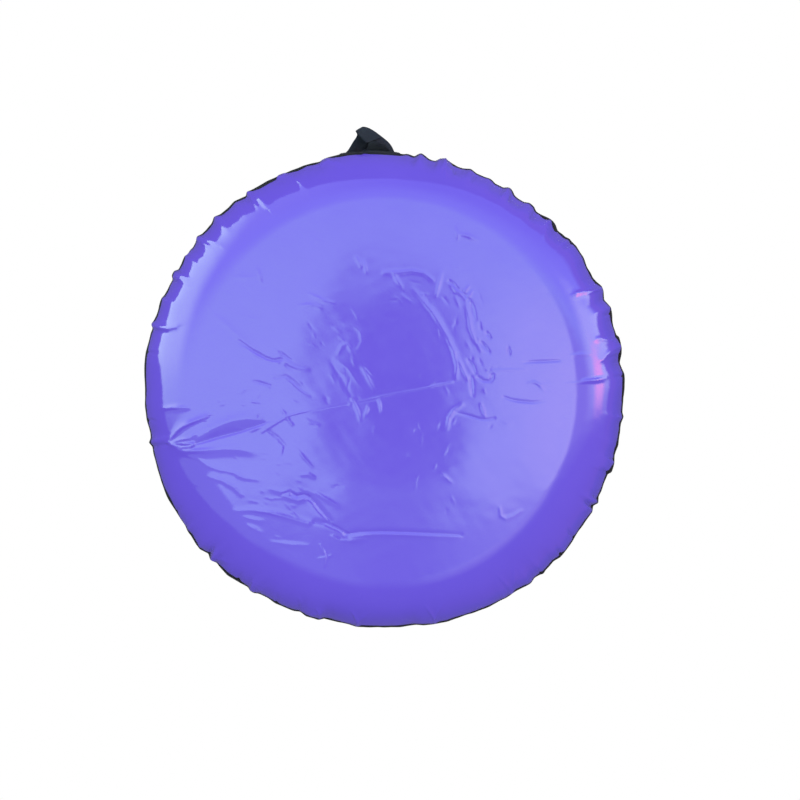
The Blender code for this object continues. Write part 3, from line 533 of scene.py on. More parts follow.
# Folds: height in mm, half widths in pixels on the left and right of the way drawn, how much of
# the height is kept at both ends, and the pixels that the fold runs through
rim_folds = [
    (2.6, 5, 2, 1, 0.1, [(321, 162), (327, 160), (336, 162), (343, 166), (349, 172)]),
    (2.6, 6, 2, 1, 0.2, [(279, 176), (285, 174), (294, 177), (300, 182), (305, 190)]),
    (3.2, 7, 1.8, 1, 0.5, [(247, 192), (252, 193), (257, 197), (262, 202), (266, 207)]),
    (1.8, 4, 1.6, 1, 0.2, [(214, 217), (219, 218), (226, 220)]),
    (2.2, 5, 1.8, 1, 0.4, [(197, 238), (204, 239), (211, 241), (217, 245)]),
    (1.4, 3, 1.6, 1, 0.2, [(187, 254), (192, 257)]),
    (1.8, 4, 2, 1, 0.2, [(173, 273), (180, 276), (190, 279)]),
    (1.2, 4, 2, 1, 0.2, [(161, 299), (168, 302)]),
    (2.6, 5, 2.2, 1, 0.9, [(152, 324), (156, 327), (163, 329), (168, 329), (176, 327)]),
    (1.6, 2.4, 2.4, 0.3, 0.2, [(160, 409), (172, 407.5), (189, 408)]),
    (1.6, 2, 2, 1, 0.3, [(447, 161), (446, 168), (446, 177)]),
    (1.2, 3, 3, 1, 0.2, [(449, 164), (457, 173), (462, 178)]),
    (1, 2, 2, 1, 0.2, [(420, 155), (420, 163)]),
    (1.2, 2.2, 2.2, 1, 0.2, [(511, 190), (510, 197), (508, 205)]),
    (1, 2, 2.4, 1, 0.2, [(471, 170), (469, 180)]),
    (1.8, 2.4, 2.4, 1, 0.3, [(551, 221), (547, 228), (544, 236)]),
    (1.2, 2.4, 2, 1, 0.2, [(534, 208), (531, 213), (530, 219)]),
    (1, 2, 2, 1, 0.2, [(569, 240), (563, 242)]),
    (2.4, 3.2, 1.8, 1, 1, [(602, 290), (592, 290.5), (583, 291.5), (576, 293)]),
    (1.2, 3, 2, 1, 0.4, [(611, 308), (604, 310), (596, 313)]),
    (2.8, 2.6, 3.4, 1, 0.6, [(621, 347), (614, 349), (608, 354), (603, 360)]),
    (2, 2.4, 2.4, 0.8, 0.6, [(619, 345), (611, 341), (602, 338), (597, 339)]),
    (1.8, 2, 2, 0.4, 0.3, [(606, 378), (596, 380), (583, 381)]),
    (1.4, 2, 2.4, 1, 0.2, [(623, 416), (617, 417)]),
    (1.8, 2.2, 2.6, 1, 0.2, [(613, 462), (609, 458), (605, 456)]),
    (1.6, 2.4, 2.4, 1, 0.2, [(597, 502), (594, 501), (589, 505)]),
    (1.4, 2.2, 2.2, 1, 0.2, [(592, 510), (588, 508), (583, 511)]),
    (1, 2.2, 2.2, 1, 0.2, [(571, 553), (562, 548), (553, 546)]),
    (1.2, 2, 2, 1, 0.3, [(512, 593), (514, 580), (514.5, 566)]),
    (1.2, 2.4, 2, 1, 0.2, [(433, 623), (437, 614), (443, 604)]),
    (1.2, 2.4, 2, 1, 0.2, [(357, 625), (362, 620), (368, 614)]),
    (1.6, 2.4, 2.4, 1, 0.2, [(312, 616), (319, 615), (324, 612)]),
    (1.8, 2.6, 2.2, 1, 0.2, [(254, 592), (260, 591), (265, 587)]),
    (2.4, 2, 2.2, 1, 0.2, [(211, 560), (214, 556), (217, 550)]),
    (2.2, 2.2, 2, 1, 0.3, [(212, 560), (218, 558.5), (224, 559), (230, 562)]),
    (1.8, 2, 2.2, 1, 0.2, [(199, 547), (202, 544), (205, 542)]),
    (1.4, 2, 2, 1, 0.2, [(185, 523), (188, 520), (190, 519)]),
    (1.2, 2, 2, 1, 0.2, [(181, 518), (182, 515)]),
]
# Creases of the disc, written in the same way. A height below zero is a furrow
disc_creases = [
    (-1.8, 1.4, 1.4, 1, 1, [(153, 446.6), (160, 445.4), (168, 444.3)]),
    (1.98, 3.2, 1.8, 0.8, 0.6, [(167.5, 442.5), (172, 437), (177, 431), (182, 427), (189, 423.5), (198, 420),
        (206, 417)]),
    (1.49, 2.4, 1.6, 0.8, 0.3, [(168, 443), (178, 440.5), (189, 438.5), (195, 434.5)]),
    (1.49, 1.8, 1.8, 0.8, 0.9, [(169, 443.6), (180, 443.7), (193, 443.8)]),
    (-1.70, 5, 1.1, 0.7, 0.5, [(194, 444.4), (204, 441.6), (216, 438), (228, 434.8), (240, 431.6), (252, 427.6),
        (264, 423.6)]),
    (1.70, 7, 6.5, 0.5, 0.3, [(191, 443), (196, 440), (206, 433), (217, 426.6), (231, 421), (246, 418.6),
        (258, 420), (267, 422.6)]),
    (1.36, 1.4, 1.4, 0.8, 0.8, [(172, 445), (181, 447.6), (190, 446.8), (194, 444)]),
    (2.00, 2.2, 4.5, 0.9, 0.2, [(171, 445), (178, 449.4), (184, 451), (200, 450.6), (214, 449.8)]),
    (1.50, 8, 5.5, 0.2, 0.2, [(196, 451), (208, 450), (222, 449), (240, 449.6), (258, 453)]),
    (0.5, 1.6, 1.6, 0.6, 0.5, [(262, 432), (274, 424), (286, 417), (300, 413), (325, 409), (350, 404)]),
    (-0.35, 1.1, 1.1, 0.7, 0.5, [(286, 417.5), (312, 411), (350, 404), (372, 400), (400, 393), (430, 386)]),
    (0.40, 1.2, 1.2, 0.6, 0.4, [(350, 404), (386, 396), (432, 386), (452, 382)]),
    (0.45, 1.6, 1.2, 0.4, 0.8, [(280, 408), (284, 413), (286, 417), (289, 421), (292, 425)]),
    (0.35, 1.2, 1.6, 0.4, 0.6, [(306, 419), (311, 423), (318, 425)]),
    (0.40, 1.2, 1.2, 0.5, 0.3, [(352, 399), (355, 405), (358, 411), (360, 420)]),
    (0.30, 1.2, 1.2, 0.4, 0.3, [(378, 398), (380, 404), (381, 412)]),
    (0.35, 1.2, 1.6, 0.4, 0.4, [(365, 415), (367, 411), (368, 406)]),
    (0.45, 4, 2.4, 0.1, 0.5, [(212, 314), (225, 324), (238, 336), (252, 350)]),
    (-0.95, 1.4, 2.2, 0.3, 0.8, [(240, 341), (252, 350), (266, 358), (274, 360.6), (281, 359)]),
    (0.70, 1.6, 1.6, 0.4, 0.7, [(244, 347), (256, 355), (268, 361), (278, 362.4)]),
    (-0.60, 1.2, 1.6, 0.5, 0.5, [(280, 351), (284, 355), (288, 358), (292, 360)]),
    (-0.50, 1.2, 1.4, 0.4, 0.5, [(285, 364), (289, 367), (294, 369)]),
    (0.45, 1.6, 2, 0.4, 0.3, [(284, 361), (292, 366), (300, 369), (308, 370)]),
    (-0.60, 2.2, 1.4, 0.4, 0.3, [(276, 378), (286, 376), (294, 382), (304, 391), (312, 396)]),
    (-0.60, 1.2, 1.6, 0.4, 0.5, [(254, 381), (262, 383), (271, 386)]),
    (0.60, 1.6, 1.6, 0.4, 0.4, [(258, 270), (260, 276), (261, 282)]),
    (0.22, 2.2, 2.2, 0.3, 0.4, [(233, 277), (243, 277.6), (255, 277)]),
    (0.55, 1.8, 1.8, 0.4, 0.3, [(309, 294), (316, 297), (324, 301), (333, 303)]),
    (0.55, 1.8, 2.2, 0.3, 0.4, [(299, 306), (307, 305), (314, 305.4), (320, 307.6)]),
    (0.55, 1.6, 1.6, 0.4, 0.4, [(356, 257), (359, 262), (361, 266)]),
    (0.45, 1.4, 1.6, 0.4, 0.4, [(364, 261), (365.4, 266), (366.4, 272)]),
    (0.17, 2.8, 1.8, 0.3, 0.4, [(345, 325), (354, 327), (360, 331), (362, 341), (358, 350)]),
    (0.26, 2, 1.8, 0.3, 0.5, [(338, 354), (342, 346), (347, 344), (351, 350), (356, 351)]),
    (0.18, 2.8, 2.2, 0.4, 0.3, [(335, 359), (342, 364), (350, 371), (357, 382), (364, 389)]),
    (-0.20, 2.4, 2.4, 0.3, 0.3, [(331, 362), (337, 372), (346, 386), (352, 398)]),
    (0.25, 2, 2, 0.3, 0.3, [(362, 366), (368, 378), (374, 390)]),
    (0.55, 1.8, 2.2, 0.4, 0.3, [(384, 272.6), (398, 272.6), (412, 271), (424, 273), (433, 280)]),
    (0.40, 1.8, 2.2, 0.4, 0.3, [(394, 273), (397, 280), (402, 287)]),
    (0.45, 1.6, 1.6, 0.3, 0.3, [(442, 272), (439, 284), (436, 296)]),
    (0.40, 3, 2.4, 0.3, 0.4, [(413, 289), (422, 300), (432, 312), (441, 326), (449, 340)]),
    (0.50, 2.4, 2, 0.3, 0.3, [(448, 340), (454, 352), (457, 366), (456, 378)]),
    (-0.70, 1.3, 1.3, 0.4, 0.5, [(449, 281), (453, 284), (457, 289)]),
    (0.65, 1.2, 1.4, 0.4, 0.4, [(451, 284), (456, 291), (462, 294), (466, 298)]),
    (-0.75, 1.3, 1.3, 0.4, 0.5, [(462, 292), (465, 296), (469, 300)]),
    (0.60, 1.2, 1.2, 0.4, 0.4, [(464, 292), (467, 288.6), (469, 286)]),
    (0.60, 1.2, 1.2, 0.4, 0.4, [(467, 299), (470, 294.6), (472, 291)]),
    (-0.75, 1.2, 1.2, 0.4, 0.4, [(471, 303), (473, 310), (475, 320)]),
    (0.45, 1.6, 1.6, 0.3, 0.3, [(466, 306), (469, 318), (471, 330), (476, 343), (481, 351)]),
    (-0.70, 1.3, 1.6, 0.4, 0.4, [(481, 342), (485, 347), (489, 352)]),
    (-0.50, 1.2, 1.4, 0.4, 0.4, [(486, 332), (488, 335), (490, 338)]),
    (-0.65, 1.3, 1.3, 0.4, 0.4, [(468, 360), (472, 366), (475, 373)]),
    (-0.80, 1.3, 1.5, 0.5, 0.6, [(478, 377), (483, 380.6), (489, 381), (492, 378), (491.6, 375)]),
    (-0.65, 1.6, 1.2, 0.4, 0.4, [(470.6, 377), (471.4, 385), (472.4, 395)]),
    (0.45, 1.4, 1.4, 0.4, 0.4, [(459, 360), (463, 370), (468, 380)]),
    (-0.50, 1.2, 1.2, 0.4, 0.4, [(508, 347), (509, 351), (509.4, 355)]),
    (-0.60, 1.3, 1.2, 0.3, 0.7, [(524, 362.4), (534, 361.6), (546, 361.2), (559, 360.4)]),
    (-0.65, 1.6, 1.3, 0.5, 0.2, [(504, 397), (510, 399.4), (518, 401), (530, 402.2), (544, 401.6)]),
    (0.45, 1.6, 1.6, 0.4, 0.3, [(529, 383), (535, 382), (540, 385), (544, 391)]),
    (-0.60, 1.3, 1.3, 0.3, 0.6, [(458, 413), (470, 416), (480, 419), (487, 419.4), (494, 418)]),
    (0.50, 1.3, 1.3, 0.4, 0.4, [(481, 404), (483, 410), (485, 417)]),
    (0.50, 2, 1.6, 0.3, 0.5, [(447, 429), (449, 418), (454, 410), (462, 405)]),
    (0.26, 1.4, 1.4, 0.4, 0.4, [(487, 370.6), (505, 370), (526, 370)]),
    (0.60, 1.6, 1.8, 0.4, 0.4, [(456, 228), (457, 233), (458, 238)]),
    (0.45, 1.8, 2.2, 0.4, 0.3, [(460, 234), (468, 235.6), (478, 240)]),
    (0.55, 2.2, 2.6, 0.3, 0.4, [(270, 489), (281, 492), (292, 492), (300, 495)]),
    (-1.00, 1.4, 1.8, 0.4, 0.6, [(283, 493.4), (290, 491.6), (297, 496), (304, 494.6), (310, 497)]),
    (0.80, 1.8, 2.2, 0.4, 0.5, [(284, 496), (291, 498.6), (298, 500.6), (304, 499)]),
    (-1.10, 1.8, 2.2, 0.5, 0.6, [(308, 496), (315, 502), (322, 511), (331, 521)]),
    (0.50, 1.8, 1.8, 0.4, 0.3, [(316, 493), (326, 499), (338, 506)]),
    (-1.00, 1.6, 2.2, 0.4, 0.7, [(315, 521.4), (326, 522.6), (338, 528), (348, 533.6)]),
    (0.80, 1.8, 2.4, 0.4, 0.4, [(333, 537), (340, 540.4), (350, 541), (364, 539)]),
    (-0.80, 1.6, 1.2, 0.7, 0.5, [(345, 534.6), (360, 531.8), (380, 531.2), (410, 532), (440, 533.4), (461, 535)]),
    (0.75, 1.2, 2, 0.5, 0.5, [(352, 537), (372, 534.4), (400, 534.8), (435, 536.2), (460, 536.8)]),
    (0.80, 2.6, 1.8, 0.3, 0.3, [(187, 456), (197, 459), (207, 466), (222, 471)]),
    (0.80, 2.6, 1.8, 0.3, 0.4, [(207, 477), (222, 481), (234, 488), (241, 495)]),
    (0.50, 2, 2, 0.3, 0.3, [(222, 470), (234, 473), (244, 478), (258, 480)]),
    (0.90, 3, 2, 0.4, 0.4, [(234, 511.4), (252, 510.4), (270, 513), (288, 518), (308, 524)]),
    (0.50, 2, 2, 0.3, 0.3, [(244, 517), (254, 520), (262, 521)]),
    (0.55, 2.2, 2, 0.3, 0.3, [(246, 525), (254, 529), (261, 533)]),
    (0.55, 2, 2.4, 0.3, 0.3, [(272, 542), (290, 544.6), (308, 545.6)]),
    (0.55, 1.4, 1.4, 0.4, 0.4, [(320, 545), (324, 553), (325, 558), (323.4, 567)]),
    (0.45, 1.2, 1.2, 0.4, 0.4, [(318, 559), (325, 558), (331, 556)]),
    (0.65, 1.6, 1.6, 0.4, 0.4, [(302, 475), (308, 474.4), (314, 477.4)]),
    (0.35, 1.4, 1.4, 0.3, 0.3, [(297, 449), (304, 458), (312, 467)]),
    (-0.50, 2, 1.4, 0.4, 0.4, [(267, 430), (278, 438), (285, 446), (283, 455)]),
    (0.45, 1.8, 1.8, 0.3, 0.3, [(441, 474), (446, 478), (451, 482)]),
    (0.50, 1.6, 1.6, 0.4, 0.4, [(500, 508), (501, 516), (506, 519), (514, 516), (521, 511)]),
    (0.55, 1.6, 1.6, 0.6, 0.4, [(589, 354.4), (581, 354.6), (572, 355.4)]),
    (0.40, 1.4, 1.4, 0.8, 0.2, [(603, 380.6), (590, 381.6), (576, 383), (564, 384)]),
    (0.9, 1.4, 1.4, 0.8, 0.4, [(600, 290.4), (590, 291), (581, 292)]),
]
fold_reach = 3.2
fold_roundness = 0.8
start_fade, stop_fade = 0.35, 0.45


def raise_fold(lift, px, py, fold):
    """Adds one fold's height to the grid of heights."""
    height, left_width, right_width, start_keep, stop_keep, way = fold
    way = np.array(way, float)
    reach = fold_reach * max(left_width, right_width)
    near = ((px > way[:, 0].min() - reach) & (px < way[:, 0].max() + reach)
            & (py > way[:, 1].min() - reach) & (py < way[:, 1].max() + reach))
    if not near.any():
        return
    x, y = px[near], py[near]
    lengths = np.hypot(*np.diff(way, axis=0).T)
    passed = np.concatenate([[0.0], np.cumsum(lengths)])
    best = np.full(x.shape, 1e9)
    side = np.zeros(x.shape)
    where = np.zeros(x.shape)
    for start, stop, length, done in zip(way[:-1], way[1:], lengths, passed):
        step = (stop - start) / length
        share = np.clip((x - start[0]) * step[0] + (y - start[1]) * step[1], 0, length)
        off_x, off_y = x - start[0] - share * step[0], y - start[1] - share * step[1]
        gap = np.hypot(off_x, off_y)
        closer = gap < best
        best = np.where(closer, gap, best)
        side = np.where(closer, step[0] * off_y - step[1] * off_x, side)
        where = np.where(closer, (share + done) / passed[-1], where)
    width = np.where(side < 0, left_width, right_width)
    fade = np.minimum(start_keep + (1 - start_keep) * np.clip(where / start_fade, 0, 1),
                      stop_keep + (1 - stop_keep) * np.clip((1 - where) / stop_fade, 0, 1))
    lift[near] += height / 1000 * fade * np.exp(-((best / width) ** 2) ** fold_roundness)


def waves(x, y, seed, count, shortest, longest):
    """Even random swell of a surface, about 1 high, from a few plane waves."""
    draw = np.random.default_rng(seed)
    total = np.zeros_like(x)
    for _ in range(count):
        turn = draw.uniform(0, 2 * pi)
        length = draw.uniform(shortest, longest)
        start = draw.uniform(0, 2 * pi)
        total += np.sin((x * cos(turn) + y * sin(turn)) * 2 * pi / length + start)
    return total / sqrt(count)


# Gathers where the skin dips or stands up beside the rim seam: pixel on the rim, length and slant of
# the gather in pixels, and height in mm
gathers = [
    (609, 473, 12, 3, -1.8), (599, 500, 9, 3, -1.5), (593, 508, 10, 3, -1.8), (574, 538, 12, 4, -1.9),
    (561, 555, 12, 4, -1.9), (541, 574, 9, 2, -1.4), (512, 592, 24, -4, 1), (446, 159, 16, 3, 1.6),
    (457, 166, 10, 2, -1.2), (477, 173, 10, 2, -1.2), (509, 189, 14, 3, 1.4), (514, 195, 9, 3, -1.4),
    (538, 212, 10, 2, -1.4), (550, 221, 12, 3, 1.2), (572, 243, 10, 2, -1.2), (601, 288, 18, 0, 1.5),
    (612, 313, 10, 0, -1.3), (618, 337, 10, 1, -1.4), (620, 352, 12, -2, 1.2), (623, 376, 10, 0, -1.3),
    (622, 416, 9, 1, -1.4), (614, 460, 10, 2, -1.6), (213, 561, 12, -4, 1.6), (209, 554, 9, -3, -1.6),
    (187, 530, 10, -3, 1.2), (250, 591, 14, -6, 1.5), (255, 594, 9, -4, -1.3), (300, 612, 14, -7, 1.4),
    (320, 619, 10, -8, 1.5), (357, 626, 15, -9, 1.6), (436, 624, 22, -8, 1.6), (276, 603, 9, -4, -1.2),
    (153, 327, 12, -3, 1.4), (172, 277, 12, -4, 1.3), (185, 256, 12, -3, 1.2), (197, 240, 14, -3, 1.4),
    (150, 352, 9, -1, -1.2), (147, 420, 9, 2, -1.2), (176, 512, 10, -3, -1.2), (238, 580, 9, -3, -1.2),
]
gather_gain = 1.5
gather_widths = (1.2, 2.0)
gather_keeps = (1.0, 0.05)


def gather_fold(px, py, long, slant, height):
    """Short fold from the rim seam towards the middle of the disc."""
    way = np.array([disc_middle_px[0] - px, disc_middle_px[1] - py], float)
    way /= np.linalg.norm(way)
    across = np.array([-way[1], way[0]])
    points = [tuple(np.array([px, py]) + way * long * share + across * slant * max(share, 0.0) ** 1.5)
              for share in (-0.15, 0.2, 0.45, 0.7, 1.0)]
    return (height * gather_gain, *gather_widths, *gather_keeps, points)


# Crinkled places between the creases: middle and half size in pixels, way the crinkles lie in
# degrees, how many, and height in mm
crinkled_places = [
    (345, 362, 24, 46, 54, 20, 0.10), (468, 335, 22, 60, 68, 22, 0.11), (525, 385, 40, 34, 4, 16, 0.11),
    (268, 482, 66, 42, 28, 32, 0.15), (298, 392, 46, 36, 36, 14, 0.14), (432, 446, 46, 56, 105, 18, 0.09),
    (240, 300, 60, 56, 40, 10, 0.12), (222, 420, 40, 24, -14, 16, 0.26), (420, 290, 40, 26, 35, 12, 0.12),
]
crinkle_turn = 16
crinkle_bend = 0.10
crinkle_wander = 0.35
crinkle_spread = 0.55
crinkle_lengths = (5, 15)
crinkle_gains = (0.5, 1.3)
crinkle_widths = ((0.8, 1.5), (0.8, 1.9))
crinkle_keep = 0.15
furrow_share = 0.35
crinkle_seed = 20


def crinkles(place, seed):
    """Short crooked folds of one crinkled place."""
    draw = np.random.default_rng(seed)
    middle_x, middle_y, half_x, half_y, lie, count, height = place
    folds = []
    for _ in range(count):
        way = radians(lie + draw.normal(0, crinkle_turn))
        long = draw.uniform(*crinkle_lengths)
        at = np.array([middle_x + half_x * draw.normal(0, crinkle_spread),
                       middle_y + half_y * draw.normal(0, crinkle_spread)])
        points = []
        for share in np.linspace(-0.5, 0.5, 5):
            bend = way + draw.normal(0, crinkle_bend)
            points.append(tuple(at + long * share * np.array([cos(bend), sin(bend)])
                                + draw.normal(0, crinkle_wander, 2)))
        high = height * draw.uniform(*crinkle_gains) * (-1 if draw.uniform() < furrow_share else 1)
        widths = [draw.uniform(*limits) for limits in crinkle_widths]
        folds.append((high, *widths, crinkle_keep, crinkle_keep, points))
    return folds


base_lift = np.zeros(base_px.shape)
small_folds = [fold for number, place in enumerate(crinkled_places)
               for fold in crinkles(place, crinkle_seed + number)]
gather_folds = [gather_fold(*gather) for gather in gathers]
for fold in rim_folds + gather_folds + disc_creases + small_folds:
    raise_fold(base_lift, base_px, base_py, fold)
broad_slack, fine_slack = 0.00010, 0.000018
curve_calm = 0.75
base_x, base_y = base_points[..., 0], base_points[..., 1]
slack = broad_slack * waves(base_x, base_y, seed=3, count=14, shortest=0.09, longest=0.24)
slack += fine_slack * waves(base_x, base_y, seed=5, count=14, shortest=0.025, longest=0.05)
calm = np.clip((section_spot - radians(-62)) / radians(20), 0, 1)
base_lift += slack * (1 - curve_calm * calm)


def spread_out(values, wide_rows, wide_columns, take_most):
    """Largest or mean value of a wrapped grid over a patch round each of its points."""
    for axis, wide in ((0, wide_rows), (1, wide_columns)):
        total = values.copy()
        for shift in range(1, wide + 1):
            for way in (-shift, shift):
                moved = np.roll(values, way, axis=axis)
                if axis == 0 and way > 0:
                    moved[:way] = values[:1]
                elif axis == 0:
                    moved[way:] = values[-1:]
                total = np.maximum(total, moved) if take_most else total + moved
        values = total if take_most else total / (2 * wide + 1)
    return values


# Where a fold would reach below the ground, the skin round it stands off by as much
ground_clear = 0.0003
overhang = np.maximum(0.0, base_lift - base_points[..., 2] + ground_clear)
stand_off = spread_out(overhang, wide_rows=34, wide_columns=44, take_most=True)
for _ in range(2):
    stand_off = spread_out(stand_off, wide_rows=16, wide_columns=21, take_most=False)
base_lift -= stand_off
open_calm_angle = radians(60)
base_bulge = rim_bulge[None, :] * bulge_share(section_spot, open_calm_angle)
base_points += base_normals * base_lift[..., None] + column_way[None] * base_bulge[..., None]
base_points[..., 2] = np.maximum(base_points[..., 2], 0.0001)
base = grid_piece("base_sheet", base_points, True)


def woven_group():
    """Plain weave as a height and a tone, from lengths in metres along two ways. The tone marks where one set of
    threads lies on top, which the cloth paints lighter as a sheen.
    """
    group = bpy.data.node_groups.new("plain weave", "ShaderNodeTree")
    for name, kind, way in (("Place", "NodeSocketVector", "INPUT"), ("Thread", "NodeSocketFloat", "INPUT"),
                            ("Height", "NodeSocketFloat", "OUTPUT"), ("Tone", "NodeSocketFloat", "OUTPUT")):
        group.interface.new_socket(name, in_out=way, socket_type=kind)
    wires = Wiring(group)
    given = wires.add("NodeGroupInput")
    result = wires.add("NodeGroupOutput")
    split = wires.add("ShaderNodeSeparateXYZ", Vector=given.outputs["Place"])
    turn = wires.sum("DIVIDE", pi, given.outputs["Thread"])
    across = wires.sum("SINE", wires.sum("MULTIPLY", split.outputs["X"], turn))
    down = wires.sum("SINE", wires.sum("MULTIPLY", split.outputs["Y"], turn))
    crossing = wires.sum("MULTIPLY", across, down)
    over = wires.sum("MULTIPLY_ADD", crossing, 0.5, 0.5)
    height = wires.sum("ADD", wires.sum("MULTIPLY", over, wires.sum("ABSOLUTE", across)),
                       wires.sum("MULTIPLY", wires.sum("SUBTRACT", 1.0, over), wires.sum("ABSOLUTE", down)))
    wires.feed(result, "Height", height)
    wires.feed(result, "Tone", over)
    return group


weave = woven_group()


def new_material(name, colour, roughness, metallic=0.0):
    """Material of one plain finish, with its shader and the wiring for its nodes."""
    material = bpy.data.materials.new(name)
    material.use_nodes = True
    shader = material.node_tree.nodes["Principled BSDF"]
    shader.inputs["Base Color"].default_value = (*colour, 1.0)
    shader.inputs["Roughness"].default_value = roughness
    shader.inputs["Metallic"].default_value = metallic
    return material, shader, Wiring(material.node_tree)


vinyl_purple = (0.158, 0.103, 0.800)
vinyl_deep = (0.142, 0.092, 0.765)
cloud_scale, smear_scale, ripple_scale = 9.0, 26.0, 60.0
backing_thread = 0.0016
backing_shows = 0.30
vinyl_dull_spread, vinyl_dull_least = 0.10, 0.06
vinyl_relief = 0.12
vinyl, vinyl_shader, vinyl_wires = new_material("glossy purple vinyl", vinyl_purple, roughness=0.10)
vinyl_shader.inputs["Coat Weight"].default_value = 0.85
vinyl_shader.inputs["Coat Roughness"].default_value = 0.06
vinyl_shader.inputs["Specular IOR Level"].default_value = 0.5
vinyl_tone = vinyl_wires.blend(vinyl_wires.noise(cloud_scale, 4.0), (*vinyl_deep, 1), (*vinyl_purple, 1))
vinyl_wires.feed(vinyl_shader, "Base Color", vinyl_tone)
vinyl_wires.dull(vinyl_shader, vinyl_wires.noise(smear_scale, 5.0), vinyl_dull_spread, vinyl_dull_least)
vinyl_place = vinyl_wires.add("ShaderNodeTexCoord").outputs["Object"]
backing = vinyl_wires.add("ShaderNodeGroup", {"node_tree": weave}, Place=vinyl_place, Thread=backing_thread)
ripple = vinyl_wires.noise(ripple_scale, 3.0)
vinyl_height = vinyl_wires.sum("MULTIPLY_ADD", backing.outputs["Height"], backing_shows, ripple)
vinyl_wires.relief(vinyl_shader, vinyl_height, vinyl_relief, 0.0003)
base.data.materials.append(vinyl)
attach(base, "tube")
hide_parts("base_panel")


# Top cover: black coated nylon, gathered into the rim seam below and sewn to the well at its inner
# edge. It closes over the tube with a long zip on the far side, whose slot is cut here.
cover_end_angle = radians(140)
facet_low_angle = radians(11)
facet_high_angle = radians(29)
slot_half_width = 0.007
slot_start = radians(38.2)
slot_stop = radians(141.8)
slot_fade = radians(4)
zip_calm_angle = radians(8)

facet_length = 2 * section_radius * sin((facet_high_angle - facet_low_angle) / 2)
slot_share = slot_half_width / facet_length
facet_shares = [0, 0.11, 0.22, 0.5 - slot_share, 0.5 + slot_share, 0.78, 0.89, 1]
lower_rows = 26
upper_rows = 86
near_slot = np.minimum(column_turns - slot_start, slot_stop - column_turns) + slot_fade
near_slot = smooth(np.clip(near_slot / slot_fade, 0, 1))
upper_calm = open_calm_angle + (zip_calm_angle - open_calm_angle) * near_slot

# Hem that is turned in under the edge of the base: angle from that edge, and how far it lies inside
hem_rows = ((-0.035, 0.0030), (-0.012, 0.0016), (0.006, 0.0008), (0.02, 0.0003))


def round_grid(radii, heights):
    """Rings of points round the middle of the tube, from a radius and a height for each."""
    points = column_way[None] * radii[..., None]
    points[..., 2] = heights
    points[..., 1] += middle_y
    return points


cover_rows = []
for past_edge, inset in hem_rows:
    angle = base_edge_angle + past_edge
    radius, height = section_point(angle)
    cover_rows.append((angle, radius - inset, height))
for share in np.linspace(0.04, 1, lower_rows):
    angle = base_edge_angle + past_edge + (facet_low_angle - base_edge_angle - past_edge) * share
    cover_rows.append((angle, *section_point(angle)))
low_radius, low_height = section_point(facet_low_angle)
high_radius, high_height = section_point(facet_high_angle)
slot_row = len(cover_rows) + facet_shares.index(0.5 - slot_share) - 1
for share in facet_shares[1:]:
    angle = facet_low_angle + (facet_high_angle - facet_low_angle) * share
    radius, height = section_point(angle)
    radius = radius + (low_radius + (high_radius - low_radius) * share - radius) * near_slot
    height = height + (low_height + (high_height - low_height) * share - height) * near_slot
    cover_rows.append((angle, radius, height))
for angle in np.linspace(facet_high_angle, cover_end_angle, upper_rows + 1)[1:]:
    cover_rows.append((angle, *section_point(angle)))
cover_spot, cover_radius, cover_height = (
    np.array([np.broadcast_to(row[place], round_columns) for row in cover_rows]) for place in range(3))
cover_bulge = rim_bulge[None, :] * bulge_share(cover_spot, upper_calm[None, :])
cover_points = round_grid(cover_radius + cover_bulge, cover_height)
cover_out = np.cos(cover_spot)[..., None] * column_way[None]
cover_out[..., 2] = np.sin(cover_spot)
cover_across = np.broadcast_to(column_turns * outer_radius, cover_spot.shape)
cover_down = cover_spot * section_radius
still = 1 - near_slot * np.clip(1 - np.abs(cover_spot - radians(20)) / radians(22), 0, 1)
broad_swell, rim_swell, rim_swell_long = 0.0006, 0.0005, 0.28
cover_swell = broad_swell * waves(cover_points[..., 0], cover_points[..., 1],
                                  seed=11, count=16, shortest=0.06, longest=0.20)
cover_gathers = np.exp(-((cover_spot - radians(2)) / radians(22)) ** 2)
cover_swell += rim_swell * waves(cover_across, cover_down * rim_swell_long,
                                 seed=12, count=18, shortest=0.018, longest=0.05) * cover_gathers
cover_points += cover_out * (cover_swell * still)[..., None]
cover = grid_piece("cover_sheet", cover_points, True, (cover_across, cover_down))
slot_columns = [ceil(slot_start / (2 * pi) * round_columns), int(slot_stop / (2 * pi) * round_columns)]
shell = bmesh.new()
shell.from_mesh(cover.data)
shell.faces.ensure_lookup_table()
slot_faces = [shell.faces[slot_row * round_columns + column] for column in range(*slot_columns)]
bmesh.ops.delete(shell, geom=slot_faces, context="FACES")
shell.to_mesh(cover.data)
shell.free()

# Black of the nylon, and the lighter colour that the threads lying on top get as a painted sheen; random broad clouds
# of tone reach it too
nylon_black = (0.007, 0.008, 0.011)
nylon_sheen = (0.018, 0.021, 0.029)
cloth_cloud_scale = 30.0
# Weights of the painted sheen on the threads on top and of the random clouds of tone
cloth_thread_sheen, cloth_cloud_tone = 0.55, 0.5
cloth_dull_spread = 0.16
cloth_relief = 0.0003


def cloth_material(name, dark, light, thread, roughness, depth):
    """Woven coated cloth, with the weave laid in lengths of the UV map. Its colour is lighter on the threads that lie
    on top, a painted sheen, and in broad random clouds of tone.
    """
    material, shader, wires = new_material(name, dark, roughness)
    place = wires.add("ShaderNodeUVMap").outputs[0]
    cloth = wires.add("ShaderNodeGroup", {"node_tree": weave}, Place=place, Thread=thread)
    broad = wires.noise(cloth_cloud_scale, 4.0)
    # Painted sheen: lighter where the threads lie on top, with broad random clouds of tone on it
    tone = wires.sum("MULTIPLY_ADD", cloth.outputs["Tone"], cloth_thread_sheen,
                     wires.times(broad, cloth_cloud_tone))
    wires.feed(shader, "Base Color", wires.blend(tone, (*dark, 1), (*light, 1)))
    wires.dull(shader, broad, cloth_dull_spread, roughness - cloth_dull_spread / 2)
    wires.relief(shader, cloth.outputs["Height"], depth, cloth_relief)
    return material


